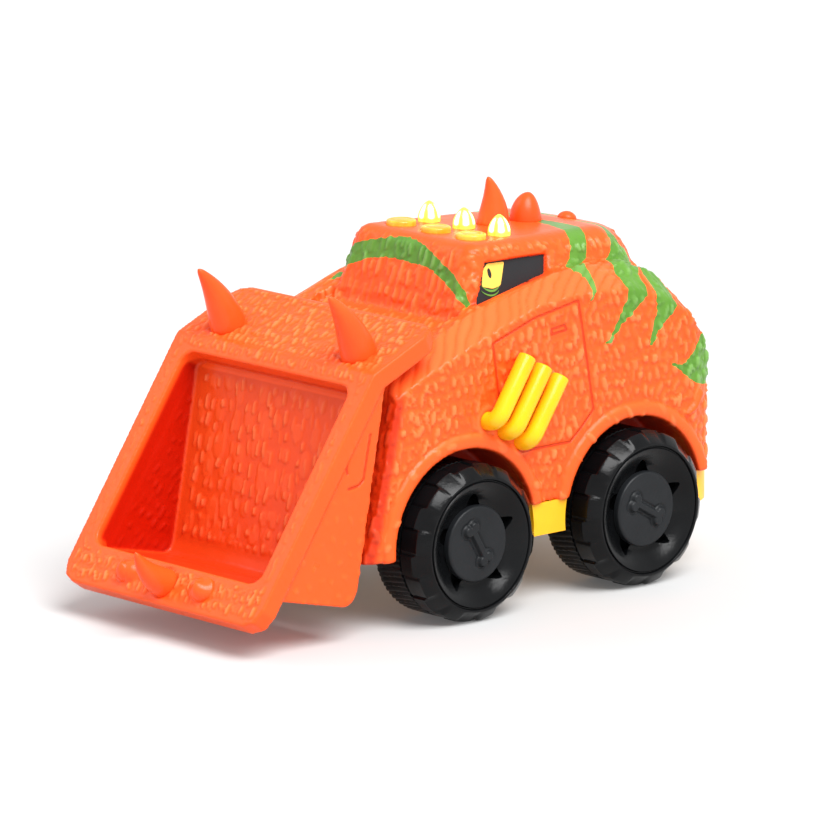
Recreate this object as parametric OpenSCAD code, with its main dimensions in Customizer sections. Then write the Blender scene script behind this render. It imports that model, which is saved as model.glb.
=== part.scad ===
// Toy front loader styled as a horned dinosaur, with lights and push buttons on its roof.
// Millimetres, +Z up. The wheels stand on z = 0 and the bucket faces -Y.
// The origin is on the ground under the middle of the toy, so x = 0 is its mirror plane.

/* [Body] */
// Half of the width over the wheel arches
body_half_w = 51; // [46:0.5:56]
// Half of the width between the inner edges of the scaly ridges
ridge_half_w = 40; // [34:0.5:44]
// Half of the cab's width where it meets the body
cab_half_w = 38; // [32:0.5:40]
// Height of the roof above the ground
roof_z = 128.2; // [120:0.2:136]
// Height of the body's lower edge ahead of the front wheels
skirt_z = 26; // [22:0.5:30]
// Height of the body's lower edge behind the front wheels
sill_z = 36.5; // [32:0.5:40]
// Wall of the moulded shells
wall = 2.4; // [1.6:0.2:3]
// Furthest back point of the body
rear_y = 118.6; // [110:0.2:124]

/* [Wheels] */
// Distance between the axles
wheelbase = 81.5; // [70:0.5:90]
// Outer radius of a wheel
wheel_r = 28.3; // [24:0.1:32]
// Width of a wheel
wheel_w = 27; // [20:0.5:28]
// Half of the width over the wheels
track_half_w = 60; // [56:0.5:64]
// Radius of the axles
axle_r = 1.8; // [1.2:0.1:2.5]
// Number of tread blocks
tread_blocks = 18; // [12:1:24]

/* [Bucket] */
// Half of the bucket's width
bucket_half_w = 53; // [48:0.5:56]
// Half of the width of its mouth
mouth_half_w = 44.5; // [38:0.5:48]
// Thickness of its front frame and top plate
slab_t = 7; // [4:0.5:9]
// Lean of the front frame away from upright, in degrees
face_lean = 34.4; // [25:0.2:42]
// Length of the front frame down its slope
face_len = 98.5; // [85:0.5:105]
// Rise of the top plate towards the cab, in degrees
plate_rise = 23.8; // [15:0.2:30]
// Length of the top plate
plate_len = 32.7; // [26:0.1:36]

/* [Roof] */
// Distance between neighbouring buttons
button_pitch = 18.6; // [16:0.2:20]
// Radius of a button
button_r = 5.4; // [4.5:0.1:7.5]
// Radius of a light dome
dome_r = 4.2; // [3:0.1:5]

/* [Hidden] */
$fa = 6;
$fs = 0.6;
gap = 0.05;
front_axle_y = -10.7;
rear_axle_y = front_axle_y + wheelbase;
axle_z = wheel_r;
well_r = wheel_r + 4.9;
well_x = track_half_w - wheel_w - 1.5;
shell_floor_z = 20;
hood_back = [2.4, 102];
hood_slope = 16;
cab_lean = 19;
roof_front_y = 15;
roof_back_y = 76;
roof_drop = 2;
horn_y = 49.5;
brow_spot = [35, 9.5]; // foot of a brow horn on the top plate: across, then back from the bend
spike_y = 65.5;
nub_y = 86;
nub_slope = 10.1;
chassis_z = 24.6;
tray_half_w = 29;
bend = [-54.4, 94.2];
hinge = [-25, 94.9];
pin_r = 1.5;
knuckle_r = 3.5;
lug_x = 26;
lug_w = 8;
button_y = 22.1;
dome_y = 35.6;
board_z = 117;
board_t = 1.6;
board_pin = [23.5, 41];
post_spots = [[-21.5, -43], [21.5, -43], [-23, 102], [23, 102]];
cell_r = 5.2;
cell_len = 44.5;
cell_pitch = 11;
cells_y = 5;
bay_half_w = 17.5;
bay_len = 53;
bay_top_z = 38;
cover_screw = [0, 58.5];
switch_y = 92;
speaker_y = -33;
sides = [-1, 1];

orange = [0.95, 0.33, 0.08];
horn_orange = [0.88, 0.28, 0.06];
yellow = [1, 0.78, 0.05];
amber = [1, 0.68, 0.1];
black = [0.05, 0.05, 0.055];
steel = [0.7, 0.7, 0.72];

// ---------- helpers ----------

// Stretches an outline drawn as [y, z] across the toy, the same distance to each side.
module across(half_width) {
    rotate([90, 0, 90])
        linear_extrude(2 * half_width, center = true)
            children();
}

// A round bar along X, from x0 to x1, around the line through [y, z].
module bar(r, x0, x1, at) {
    translate([x0, at[0], at[1]])
        rotate([0, 90, 0])
            cylinder(r = r, h = x1 - x0);
}

// The same round bar on both sides of the toy.
module bar_pair(r, x0, x1, at) {
    bar(r, x0, x1, at);
    bar(r, -x1, -x0, at);
}

// A box given by its lowest and highest corners.
module block(low, high) {
    translate(low)
        cube(high - low);
}

// A rectangle given by its lowest and highest corners, in two dimensions.
module block2d(low, high) {
    translate(low)
        square(high - low);
}

// The same rectangle with round corners.
module rounded_square(r, low, high) {
    offset(r = r)
        block2d(low + [r, r], high - [r, r]);
}

// A pointed horn that stands on z = 0, leans by the given angle about X and has a plug below.
module horn(r, h, lean, plug_r, plug) {
    difference() {
        rotate([lean, 0, 0])
            rotate_extrude()
                polygon([
                    [0, -4], [r, -4], [r, 0], [r * 0.95, h * 0.2], [r * 0.78, h * 0.48],
                    [r * 0.52, h * 0.76], [r * 0.27, h * 0.94], [r * 0.1, h * 0.99], [0, h]
                ]);
        block([-20, -20, -20], [20, 20, 0]);
    }
    translate([0, 0, -plug])
        cylinder(r = plug_r, h = plug + 0.5);
}

// ---------- body ----------

// Side view of the wheel arches' outer faces, closed well below the skirt.
module fender_outline() {
    polygon([
        [-57.7, shell_floor_z], [-41.7, 82.8], [-38.5, 84.8], [-24.6, 90.5], [-4.6, 97.6],
        [7.3, 101.6], [26.4, 107.2], [45.7, 109], [70, 107.6], [88, 102], [99.5, 94],
        [108, 83.5], [114, 72], [rear_y - 0.5, 58], [rear_y, 48], [rear_y, shell_floor_z]
    ]);
}

// Side view of the ridges' inner edges, which stand higher than the arches.
module ridge_outline() {
    polygon([
        [-56.5, shell_floor_z], [-41, 86.5], [-38.5, 89.5], [-24.6, 95.8], [-9.7, 101.4],
        [4.5, 106.6], [16.4, 110.6], [38.1, 115], [55, 116.4], [76, 115.4], [90, 110],
        [100, 100.5], [109, 88], [114.5, 75.5], [rear_y - 0.5, 60], [rear_y, 48], [rear_y, shell_floor_z]
    ]);
}

// Top view of the whole body: tight corners in front, wide ones behind.
module plan_outline(inset) {
    front_y = -57.7;
    offset(delta = -inset)
        intersection() {
            rounded_square(7, [-body_half_w, front_y], [body_half_w, rear_y + 40]);
            rounded_square(21, [-body_half_w, front_y - 40], [body_half_w, rear_y]);
        }
}

// The lower body with the ridge slope along each shoulder.
module shoulders(inset) {
    hull() {
        across(body_half_w - inset)
            offset(delta = -inset)
                fender_outline();
        across(ridge_half_w - inset)
            offset(delta = -inset)
                ridge_outline();
    }
}

// The cab with its rounded roof, wider at the bottom.
module cab(inset) {
    front_r = 6;
    rear_r = 10;
    hull() {
        translate([0, 0, 90])
            linear_extrude(13)
                offset(delta = -inset)
                    polygon([
                        [-cab_half_w + 7, 2.4], [cab_half_w - 7, 2.4], [cab_half_w, 9],
                        [cab_half_w, 88], [cab_half_w - 9, 97], [9 - cab_half_w, 97],
                        [-cab_half_w, 88], [-cab_half_w, 9]
                    ]);
        for (side = sides) {
            translate([side * (cab_half_w - 12), roof_front_y, roof_z - front_r])
                sphere(r = front_r - inset, $fn = 32);
            translate([side * (cab_half_w - 16), roof_back_y, roof_z - roof_drop - rear_r])
                sphere(r = rear_r - inset, $fn = 32);
            translate([side * 9, 88, roof_z - 18.2])
                sphere(r = 14 - inset, $fn = 32);
        }
    }
}

// Places things on the sloping roof, at the given distance along the toy.
module on_roof(y) {
    slope = atan(roof_drop / (roof_back_y - roof_front_y));
    translate([0, y, roof_z - (y - roof_front_y) * tan(slope)])
        rotate([-slope, 0, 0])
            children();
}

// The low hood between the ridges, in front of the cab.
module hood_valley(inset) {
    rise = tan(hood_slope);
    back = hood_back[0] + 12;
    across(ridge_half_w - 5 + inset)
        offset(delta = inset)
            polygon([
                [-70, hood_back[1] - (70 + hood_back[0]) * rise], hood_back,
                [hood_back[0] + 4, 125], [-70, 125]
            ]);
}

// The body's full volume, drawn inward by the given distance.
module body_volume(inset) {
    intersection() {
        union() {
            difference() {
                shoulders(inset);
                hood_valley(inset);
            }
            cab(inset);
        }
        linear_extrude(200)
            plan_outline(inset);
    }
}

// Everything below the body's lower edge.
module below_body() {
    block([-80, -80, -20], [80, 150, skirt_z]);
    block([-80, front_axle_y - sqrt(pow(well_r, 2) - pow(sill_z - axle_z, 2)), -20], [80, 150, sill_z]);
}

// The round spaces the wheels turn in.
module wheel_wells(extra) {
    for (y = [front_axle_y, rear_axle_y])
        bar_pair(well_r + extra, well_x - extra, 80, [y, axle_z]);
}

// The raised lip around each wheel arch.
module arch_lips() {
    for (side = sides, y = [front_axle_y, rear_axle_y])
        translate([side * body_half_w, y, axle_z])
            rotate([0, side * 90, 0])
                rotate_extrude()
                    polygon([
                        [well_r - 1, -2], [well_r + 4.6, -2], [well_r + 4.6, 0.4],
                        [well_r + 3.6, 1.2], [well_r - 1, 1.2]
                    ]);
}

// One cab window, as [y, z] seen from the side.
module window_outline() {
    polygon([[9.8, 108.4], [17.4, 122.7], [46.5, 122.2], [44.4, 115.2]]);
}

// Places a sheet parallel to the cab's side, from depth d0 to d1 below its surface.
module on_cab_side(side, d0, d1) {
    mirror([side < 0 ? 1 : 0, 0, 0])
        translate([cab_half_w, 0, 103])
            rotate([0, -cab_lean, 0])
                translate([-d1, 0, -103])
                    rotate([90, 0, 90])
                        linear_extrude(d1 - d0)
                            children();
}

// The knuckles that hold the hinge pin, and the linings of the pockets between them.
module hood_knuckles() {
    for (side = sides) {
        for (x = [lug_x - lug_w / 2 - 5.3, lug_x + lug_w / 2 + 0.3])
            translate([side > 0 ? x : -x - 5, 0, 0]) {
                bar(knuckle_r, 0, 5, hinge);
                block(
                    [0, hinge[0] - knuckle_r + 0.4, hinge[1] - 9],
                    [5, hinge[0] + knuckle_r - 0.4, hinge[1]]
                );
            }
        bar(
            knuckle_r + 3, side * lug_x - lug_w / 2 - 5, side * lug_x + lug_w / 2 + 5,
            [hinge[0], hinge[1] - 5.5]
        );
    }
}

// The spaces in which the bucket's lugs turn.
module lug_pockets() {
    for (side = sides)
        bar(knuckle_r + 0.6, side * lug_x - lug_w / 2 - 0.3, side * lug_x + lug_w / 2 + 0.3, hinge);
}

// Two pads on the body's front wall that the lowered bucket rests on.
module bucket_stops() {
    for (side = sides)
        translate([side * 24, -53.2, 38])
            rotate([90 - 10.6, 0, 0])
                cylinder(r = 3, h = 4.12);
}

// Posts that take the chassis screws and the two pins that carry the circuit board.
module body_posts() {
    foot_z = chassis_z + wall + gap;
    intersection() {
        for (spot = post_spots)
            translate([spot[0], spot[1], foot_z])
                cylinder(r = 4, h = (spot[1] < 0 ? 86.5 : 110) - foot_z);
        shoulders(wall / 2);
    }
    for (side = sides)
        translate([side * board_pin[0], board_pin[1], board_z - 1])
            cylinder(r = 1.5, h = roof_z - wall - board_z + 1);
}

// Holes in the roof for the buttons, the light domes and the three spikes.
module roof_holes() {
    for (i = [-1, 0, 1]) {
        translate([i * button_pitch, button_y, roof_z - 10])
            cylinder(r = button_r + 0.25, h = 20);
        translate([i * button_pitch, dome_y, roof_z - 10])
            cylinder(r = dome_r + gap, h = 20);
    }
    for (y = [horn_y, spike_y])
        on_roof(y)
            translate([0, 0, -6])
                cylinder(r = 4.2 + gap, h = 20);
    on_nub()
        translate([0, 0, -3])
            cylinder(r = 2.6 + gap, h = 10);
}

// Places the small nub on the roof's falling back end.
module on_nub() {
    translate([0, nub_y, roof_z - 3.55])
        rotate([-nub_slope, 0, 0])
            children();
}

// Shallow grooves that outline the door on each side.
module door_grooves() {
    for (side = sides)
        translate([side * body_half_w, 0, 0])
            rotate([90, 0, 90])
                linear_extrude(1.2, center = true)
                    difference() {
                        door_outline();
                        offset(delta = -0.7)
                            door_outline();
                    }
}

// One door, as [y, z] seen from the side.
module door_outline() {
    polygon([[3, 97], [23, 103.5], [44, 107], [51.4, 66.5], [45, 60.5], [40, 56.4], [9, 56.4]]);
}

// The hollow moulding with its arch lips, open below, before anything is drilled.
module moulded_shell() {
    difference() {
        union() {
            difference() {
                body_volume(0);
                difference() {
                    body_volume(wall);
                    wheel_wells(wall);
                }
            }
            arch_lips();
            hood_knuckles();
            bucket_stops();
        }
        wheel_wells(0);
        below_body();
    }
}

module body_shell() {
    color(orange)
        difference() {
            union() {
                moulded_shell();
                body_posts();
            }
            lug_pockets();
            bar(pin_r, -40, 40, hinge);
            for (side = sides) {
                on_cab_side(side, -6, 8)
                    window_outline();
                for (i = [0:2])
                    pipe_inlet(side, i, 0.05);
            }
            roof_holes();
            door_grooves();
            for (spot = post_spots)
                translate([spot[0], spot[1], 20])
                    cylinder(r = 1.25, h = 20);
        }
}

// ---------- trim on the body ----------

module window(side) {
    color([0.13, 0.13, 0.14])
        on_cab_side(side, 1.6, 3)
            offset(delta = -gap)
                window_outline();
}

// The printed eye on the window, as [y, z].
module eye(side) {
    color([0.98, 0.9, 0.4])
        on_cab_side(side, 1.2, 1.6)
            polygon([[14.8, 113.6], [19.4, 122.2], [27.2, 122], [23.4, 113.4]]);
}

// The hole through which the lower end of one exhaust pipe enters the body.
module pipe_inlet(side, i, extra) {
    start = pipe_start(i);
    translate([side * (body_half_w - 5), start[0], start[1]])
        rotate([0, side * 90, 0])
            cylinder(r = 2.6 + extra, h = 8);
}

function pipe_start(i) = [0.3 + 7.9 * i, 69.8 - 4.7 * i];

// Three bent pipes that rise towards the back, each plugged into the body at its lower end.
module exhaust(side) {
    pipe_r = 3.3;
    pipe_len = 26.5;
    pipe_x = body_half_w + pipe_r + 1.6;
    color(yellow)
        for (i = [0:2]) {
            start = pipe_start(i);
            pipe_inlet(side, i, 0);
            translate([side * body_half_w, start[0], start[1]])
                rotate([0, side * 90, 0])
                    cylinder(r = pipe_r, h = pipe_x - body_half_w);
            translate([side * pipe_x, start[0], start[1]]) {
                sphere(r = pipe_r + 0.15);
                rotate([-34, 0, 0])
                    cylinder(r = pipe_r, h = pipe_len);
            }
        }
}

module roof_horn() {
    color(horn_orange)
        on_roof(horn_y)
            horn(5, 17.5, 8, 4.2, 3);
}

module roof_spike() {
    color(horn_orange)
        on_roof(spike_y)
            rotate_extrude()
                polygon([
                    [0, -3], [4.2, -3], [4.2, 0], [5.4, 0], [5.2, 3], [4.3, 6.2],
                    [2.8, 8.6], [1.2, 9.6], [0, 9.8]
                ]);
}

module roof_nub() {
    color(horn_orange)
        on_nub()
            rotate_extrude()
                polygon([[0, -2.5], [2.6, -2.5], [2.6, 0], [3.5, 0.3], [3.3, 1.4], [2, 2.2], [0, 2.5]]);
}

// ---------- buttons, lights and electronics ----------

module button(i) {
    color(amber)
        translate([i * button_pitch, button_y, roof_z])
            rotate_extrude()
                polygon([
                    [0, -4.9], [button_r + 1.2, -4.9], [button_r + 1.2, -3], [button_r, -3],
                    [button_r, 1], [button_r - 0.6, 1.5], [0, 1.6]
                ]);
}

// Rubber cone that pushes the button back up.
module pad(i) {
    base = board_z + board_t;
    top = roof_z - 4.9;
    color([0.3, 0.3, 0.32])
        translate([i * button_pitch, button_y, base])
            rotate_extrude()
                polygon([
                    [4.6, 0], [5.6, 0], [3, top - base], [0, top - base], [0, top - base - 1.2],
                    [2.4, top - base - 1.2]
                ]);
}

// Clear pointed dome with a hollow for its lamp.
module dome(i) {
    color(amber)
        translate([i * button_pitch, dome_y, roof_z])
            rotate_extrude()
                polygon([
                    [dome_r - 1, -4.4], [dome_r + 1, -4.4], [dome_r + 1, -3.3], [dome_r, -3.3], [dome_r, 1],
                    [dome_r * 0.88, 2.8], [dome_r * 0.62, 4.7], [dome_r * 0.3, 6.1], [0, 6.6],
                    [0, 5.2], [dome_r * 0.3, 4.6], [dome_r * 0.6, 2.6], [dome_r - 1, 0.8]
                ]);
}

module lamps() {
    color([1, 1, 0.9])
        for (i = [-1, 0, 1])
            translate([i * button_pitch, dome_y, board_z + board_t])
                rotate_extrude()
                    polygon([[0, 0], [1.9, 0], [1.9, 1], [1.5, 1], [1.5, 7.8], [1.1, 8.8], [0, 9.3]]);
}

module circuit_board() {
    color([0.1, 0.4, 0.2])
        difference() {
            block([-26, 13, board_z], [26, 44, board_z + board_t]);
            for (side = sides)
                translate([side * board_pin[0], board_pin[1], board_z - 1])
                    cylinder(r = 1.5 + gap, h = 4);
        }
}

module speaker() {
    color([0.2, 0.2, 0.22])
        translate([0, speaker_y, chassis_z + wall])
            rotate_extrude()
                polygon([
                    [0, 3], [4, 3], [11.5, 0.8], [11.5, 0], [13, 0], [13, 2], [8, 5],
                    [8, 9], [0, 9]
                ]);
}

// ---------- chassis ----------

// Side view of the chassis, closed at the given height.
module chassis_outline(top) {
    polygon([
        [-51, top], [-51, chassis_z + 2], [-49, chassis_z], [rear_y - 7, chassis_z],
        [rear_y - 1.8, chassis_z + 4], [rear_y, chassis_z + 9], [rear_y, top]
    ]);
}

// The chassis volume: a strip between the wheels that widens to the body between and behind them.
module chassis_volume(inset, top) {
    difference() {
        intersection() {
            across(body_half_w - inset)
                offset(delta = -inset)
                    chassis_outline(top);
            linear_extrude(200)
                plan_outline(inset);
            union() {
                block([inset - tray_half_w, -80, 0], [tray_half_w - inset, 150, 80]);
                block([-80, rear_axle_y - wheelbase / 2 - 14, 0], [80, 150, 80]);
            }
        }
        wheel_wells(inset);
    }
}

// Bearing blocks that carry one axle.
module axle_blocks(y) {
    for (side = sides)
        translate([side * (tray_half_w - 4.5), y, 0])
            block([-3, -5, chassis_z + 1], [3, 5, axle_z + 5]);
}

// Walls of the battery bay, and the boss for the cover's screw.
module bay_walls() {
    difference() {
        block(
            [-bay_half_w - 1.6, cells_y - 4, chassis_z],
            [bay_half_w + 1.6, cells_y - 4 + bay_len, bay_top_z + 1.6]
        );
        block([-bay_half_w, cells_y - 2.4, chassis_z - 1], [bay_half_w, cells_y - 5.6 + bay_len, bay_top_z]);
    }
    translate([cover_screw[0], cover_screw[1], chassis_z + wall])
        cylinder(r = 3.2, h = 8);
}

// Outline of the battery cover, as [x, y].
module cover_outline() {
    block2d([-bay_half_w - 2.5, cells_y - 5], [bay_half_w + 2.5, cells_y - 3 + bay_len]);
    block2d([-6, cells_y + bay_len - 4], [6, cover_screw[1] + 5]);
}

module chassis() {
    color(yellow)
        difference() {
            union() {
                difference() {
                    chassis_volume(0, sill_z - 0.1);
                    chassis_volume(wall, sill_z + 10);
                }
                axle_blocks(front_axle_y);
                axle_blocks(rear_axle_y);
                difference() {
                    bay_walls();
                    translate([0, 0, chassis_z - 1])
                        linear_extrude(2.6)
                            cover_outline();
                }
                for (spot = post_spots)
                    translate([spot[0], spot[1], chassis_z])
                        cylinder(r = 4, h = wall);
            }
            for (y = [front_axle_y, rear_axle_y])
                bar(axle_r + 0.06, -40, 40, [y, axle_z]);
            translate([0, 0, chassis_z - 1])
                linear_extrude(2.6)
                    offset(delta = 0.1)
                        cover_outline();
            block(
                [-bay_half_w, cells_y - 2.4, chassis_z - 1],
                [bay_half_w, cells_y - 5.6 + bay_len, bay_top_z]
            );
            translate([cover_screw[0], cover_screw[1], chassis_z])
                cylinder(r = 1.05, h = 9);
            block([-3, switch_y - 5, chassis_z - 1], [3, switch_y + 5, chassis_z + 5]);
            for (spot = post_spots)
                translate([spot[0], spot[1], chassis_z - 1]) {
                    cylinder(r = 1.6, h = 8);
                    cylinder(r = 3.1, h = 2.4);
                }
            for (ring = [[0, 1], [3.6, 6], [7.2, 10]], i = [0:ring[1] - 1])
                translate([0, speaker_y, chassis_z - 1])
                    rotate(i * 360 / ring[1])
                        translate([ring[0], 0, 0])
                            cylinder(r = 0.9, h = 5);
        }
}

module battery_cover() {
    color(yellow)
        difference() {
            translate([0, 0, chassis_z])
                linear_extrude(1.5)
                    cover_outline();
            translate([cover_screw[0], cover_screw[1], chassis_z - 1]) {
                cylinder(r = 1.2, h = 5);
                cylinder(r = 2.5, h = 1.85 + gap);
            }
        }
}

module cells() {
    color([0.75, 0.72, 0.3])
        for (i = [-1, 0, 1])
            translate([i * cell_pitch, cells_y, chassis_z + 2 + cell_r])
                rotate([-90, 0, 0]) {
                    cylinder(r = cell_r, h = cell_len - 1);
                    cylinder(r = 1.9, h = cell_len);
                }
}

module battery_contacts() {
    ends = [cells_y - 0.6, cells_y + cell_len];
    color(steel)
        for (y = ends)
            block([-bay_half_w, y, chassis_z + 3], [bay_half_w, y + 0.5, chassis_z + 12]);
}

// A screw with its head down on z = 0 and its point at the given height.
module screw(r, head_r, head_h, h) {
    rotate_extrude()
        polygon([[0, 0], [head_r, 0], [head_r, head_h], [r, head_h], [r, h - 1], [0, h]]);
}

module cover_screw() {
    color(steel)
        translate([cover_screw[0], cover_screw[1], chassis_z + 0.1])
            screw(1.0, 2.3, 0.75, 8);
}

module chassis_screws() {
    color(steel)
        for (spot = post_spots)
            translate([spot[0], spot[1], chassis_z + 0.15])
                screw(1.2, 2.9, 1.2, 13);
}

module power_switch() {
    color(black)
        translate([0, switch_y - 2, 0]) {
            block([-2.7, -2.2, chassis_z + 0.3], [2.7, 2.2, chassis_z + wall + 1]);
            block([-5, -4.5, chassis_z + wall + gap], [5, 4.5, chassis_z + wall + 1.4]);
        }
}

// ---------- bucket ----------

// Frame of the slanted front: x across, y up the slope, z out of the face, origin at the bend.
module on_face() {
    translate([0, bend[0], bend[1]])
        rotate([90 - face_lean, 0, 0])
            children();
}

// Frame of the top plate: y runs back towards the cab, z out of the plate.
module on_plate() {
    translate([0, bend[0], bend[1]])
        rotate([plate_rise, 0, 0])
            children();
}

// A flat slab under z = 0 that runs from the bend to the given end, where its corners are cut.
module cornered_slab(end) {
    corner = 7;
    cut = corner * 0.3;
    back = end > 0 ? -1 : 1;
    half = [
        [bucket_half_w, 0], [bucket_half_w, end + back * corner],
        [bucket_half_w - cut, end + back * cut], [bucket_half_w - corner, end]
    ];
    translate([0, 0, -slab_t])
        linear_extrude(slab_t)
            polygon(concat(half, [for (i = [3:-1:0]) [-half[i][0], half[i][1]]]));
}

// Side view of the tub behind the frame.
module tub_outline() {
    polygon([
        [-54.5, 90.5], [-47.9, 88.5], [-48.6, 85.1], [-61.1, 18.5], [-63.4, 14.6],
        [-66.6, 13.2], [-96, 20], [-100.5, 21.5]
    ]);
}

// Side view of the hollow inside the tub, behind the mouth.
module hollow_outline() {
    polygon([
        [-53, 84.6], [-52.2, 84.2], [-64.3, 21], [-65.8, 17.6], [-69, 16.6], [-95.2, 22.4], [-96.5, 23]
    ]);
}

// The slope under the top plate's back edge, which clears the body as the bucket rises.
module swing_relief() {
    on_plate()
        across(bucket_half_w + 5)
            polygon([[plate_len + 1, -2.2], [plate_len + 1, -8], [plate_len - 6.25, -8]]);
}

// Lugs under the plate that the hinge pin passes through.
module bucket_lugs() {
    for (side = sides)
        translate([side * lug_x - lug_w / 2, 0, 0]) {
            bar(knuckle_r, 0, lug_w, hinge);
            translate([0, hinge[0], hinge[1]])
                rotate([plate_rise, 0, 0])
                    block([0.3, 0.4 - knuckle_r, -1], [lug_w - 0.3, knuckle_r - 0.4, 7.6]);
        }
}

module mouth_outline() {
    offset(r = 5)
        offset(delta = -5)
            translate([-mouth_half_w, -face_len + 15.6])
                square([2 * mouth_half_w, face_len - 21.6]);
}

// Two blunt nubs beside the horn on the lip.
module lip_nubs() {
    for (side = sides)
        on_face()
            translate([side * 18.5, -face_len + 9, 0])
                rotate_extrude()
                    polygon([[0, -2], [4.6, -2], [4.6, 0], [3.9, 1.6], [2.4, 3.2], [0, 4]]);
}

module bucket() {
    color(orange)
        difference() {
            union() {
                on_face()
                    cornered_slab(-face_len);
                difference() {
                    on_plate()
                        cornered_slab(plate_len);
                    swing_relief();
                }
                across(bucket_half_w - 1.5)
                    tub_outline();
                bucket_lugs();
                lip_nubs();
            }
            on_face()
                translate([0, 0, -slab_t - 1])
                    linear_extrude(slab_t + 2)
                        mouth_outline();
            across(mouth_half_w - 0.3)
                hollow_outline();
            bar(pin_r + 0.06, -40, 40, hinge);
            for (side = sides)
                on_plate()
                    translate([side * brow_spot[0], brow_spot[1], -slab_t - 1])
                        cylinder(r = 5.9 + gap, h = 20);
            on_face()
                translate([0, -face_len + 8, -slab_t + 2])
                    cylinder(r = 4.7 + gap, h = 20);
        }
}

module brow_horn(side) {
    color(horn_orange)
        on_plate()
            translate([side * brow_spot[0], brow_spot[1], 0])
                horn(6.5, 23, 8, 5.9, slab_t - 1);
}

module lip_horn() {
    color(horn_orange)
        on_face()
            translate([0, -face_len + 8, 0])
                horn(5.3, 18.5, -11, 4.7, slab_t - 2.1);
}

module hinge_pin() {
    color(steel)
        bar(pin_r, -35.4, 35.4, hinge);
}

// ---------- wheels ----------

// Turns a wheel drawn face up around Z so that its face points outward on the given side.
module on_axle(side, y) {
    translate([side * track_half_w, y, axle_z])
        rotate([0, side * 90, 0])
            children();
}

// One tread notch: a straight slot across the tread with a wider bite at the shoulder.
module tread_notch() {
    translate([wheel_r - 1.2, 0, 0]) {
        rotate([14, 0, 0])
            translate([0, -0.9, -wheel_w])
                cube([4, 1.8, wheel_w + 4]);
        translate([0.3, 0, -2])
            rotate([0, 45, 0])
                cube([4, 3.4, 6], center = true);
    }
}

// One claw-shaped hole in the wheel's dish.
module claw_hole() {
    translate([0, 0, -9])
        linear_extrude(12)
            polygon([[15.2, -2.9], [17.2, -1.5], [20.8, 0], [17.2, 1.5], [15.2, 2.9]]);
}

module wheel(side, y) {
    lip_r = wheel_r - 4.3;
    color(black)
        on_axle(side, y)
            difference() {
                rotate_extrude()
                    polygon([
                        [axle_r, -4.5], [14.3, -4.5], [16, -4.2], [20.6, -0.8], [22.4, 0], [22.6, -0.8],
                        [23.2, -0.8], [23.4, 0], [lip_r, 0], [wheel_r, -4], [wheel_r, -wheel_w + 2],
                        [wheel_r - 1.8, -wheel_w], [wheel_r - 4, -wheel_w], [wheel_r - 4, -4.6],
                        [21.6, -3.6], [16.6, -6.6], [5, -6.8], [5, -wheel_w], [axle_r, -wheel_w]
                    ]);
                for (i = [0:tread_blocks - 1])
                    rotate(i * 360 / tread_blocks)
                        tread_notch();
                for (i = [0:4])
                    rotate(90 + 90 * side + i * 72)
                        claw_hole();
            }
}

module bone_outline() {
    square([12, 2.4], center = true);
    for (x = [-6.4, 6.4], y = [-1.4, 1.4])
        translate([x, y])
            circle(r = 1.7);
}

// Round cap with a raised bone, which covers the end of the axle.
module hub(side, y, turn) {
    color(black)
        on_axle(side, y) {
            translate([0, 0, -4.5])
                cylinder(r = 13.7, h = 2.6);
            rotate(turn)
                translate([0, 0, -2.4])
                    linear_extrude(1.2)
                        bone_outline();
        }
}

module axle(y) {
    reach = track_half_w - 4.5;
    color(steel)
        bar(axle_r, -reach, reach, [y, axle_z]);
}

// ---------- sub-parts ----------

body_shell();
chassis();
window(1);  // window_left
window(-1);  // window_right
eye(1);  // eye_left
eye(-1);  // eye_right
exhaust(1);  // exhaust_left
exhaust(-1);  // exhaust_right
roof_horn();
roof_spike();
roof_nub();
button(1);  // button_left
button(0);  // button_middle
button(-1);  // button_right
pad(1);  // pad_left
pad(0);  // pad_middle
pad(-1);  // pad_right
dome(1);  // dome_left
dome(0);  // dome_middle
dome(-1);  // dome_right
lamps();
circuit_board();
speaker();
cells();
battery_contacts();
battery_cover();
cover_screw();
chassis_screws();
power_switch();
bucket();
brow_horn(1);  // brow_horn_left
brow_horn(-1);  // brow_horn_right
lip_horn();
hinge_pin();
axle(front_axle_y);  // front_axle
wheel(1, front_axle_y);  // wheel_front_left
wheel(-1, front_axle_y);  // wheel_front_right
hub(1, front_axle_y, 30);  // hub_front_left
hub(-1, front_axle_y, 30);  // hub_front_right
axle(rear_axle_y);  // rear_axle
wheel(1, rear_axle_y);  // wheel_rear_left
wheel(-1, rear_axle_y);  // wheel_rear_right
hub(1, rear_axle_y, 60);  // hub_rear_left
hub(-1, rear_axle_y, 60);  // hub_rear_right
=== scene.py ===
"""Toy front loader styled as a horned dinosaur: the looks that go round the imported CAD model."""

import math

import bmesh
import bpy
import numpy as np
from mathutils import Matrix, Vector


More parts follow.
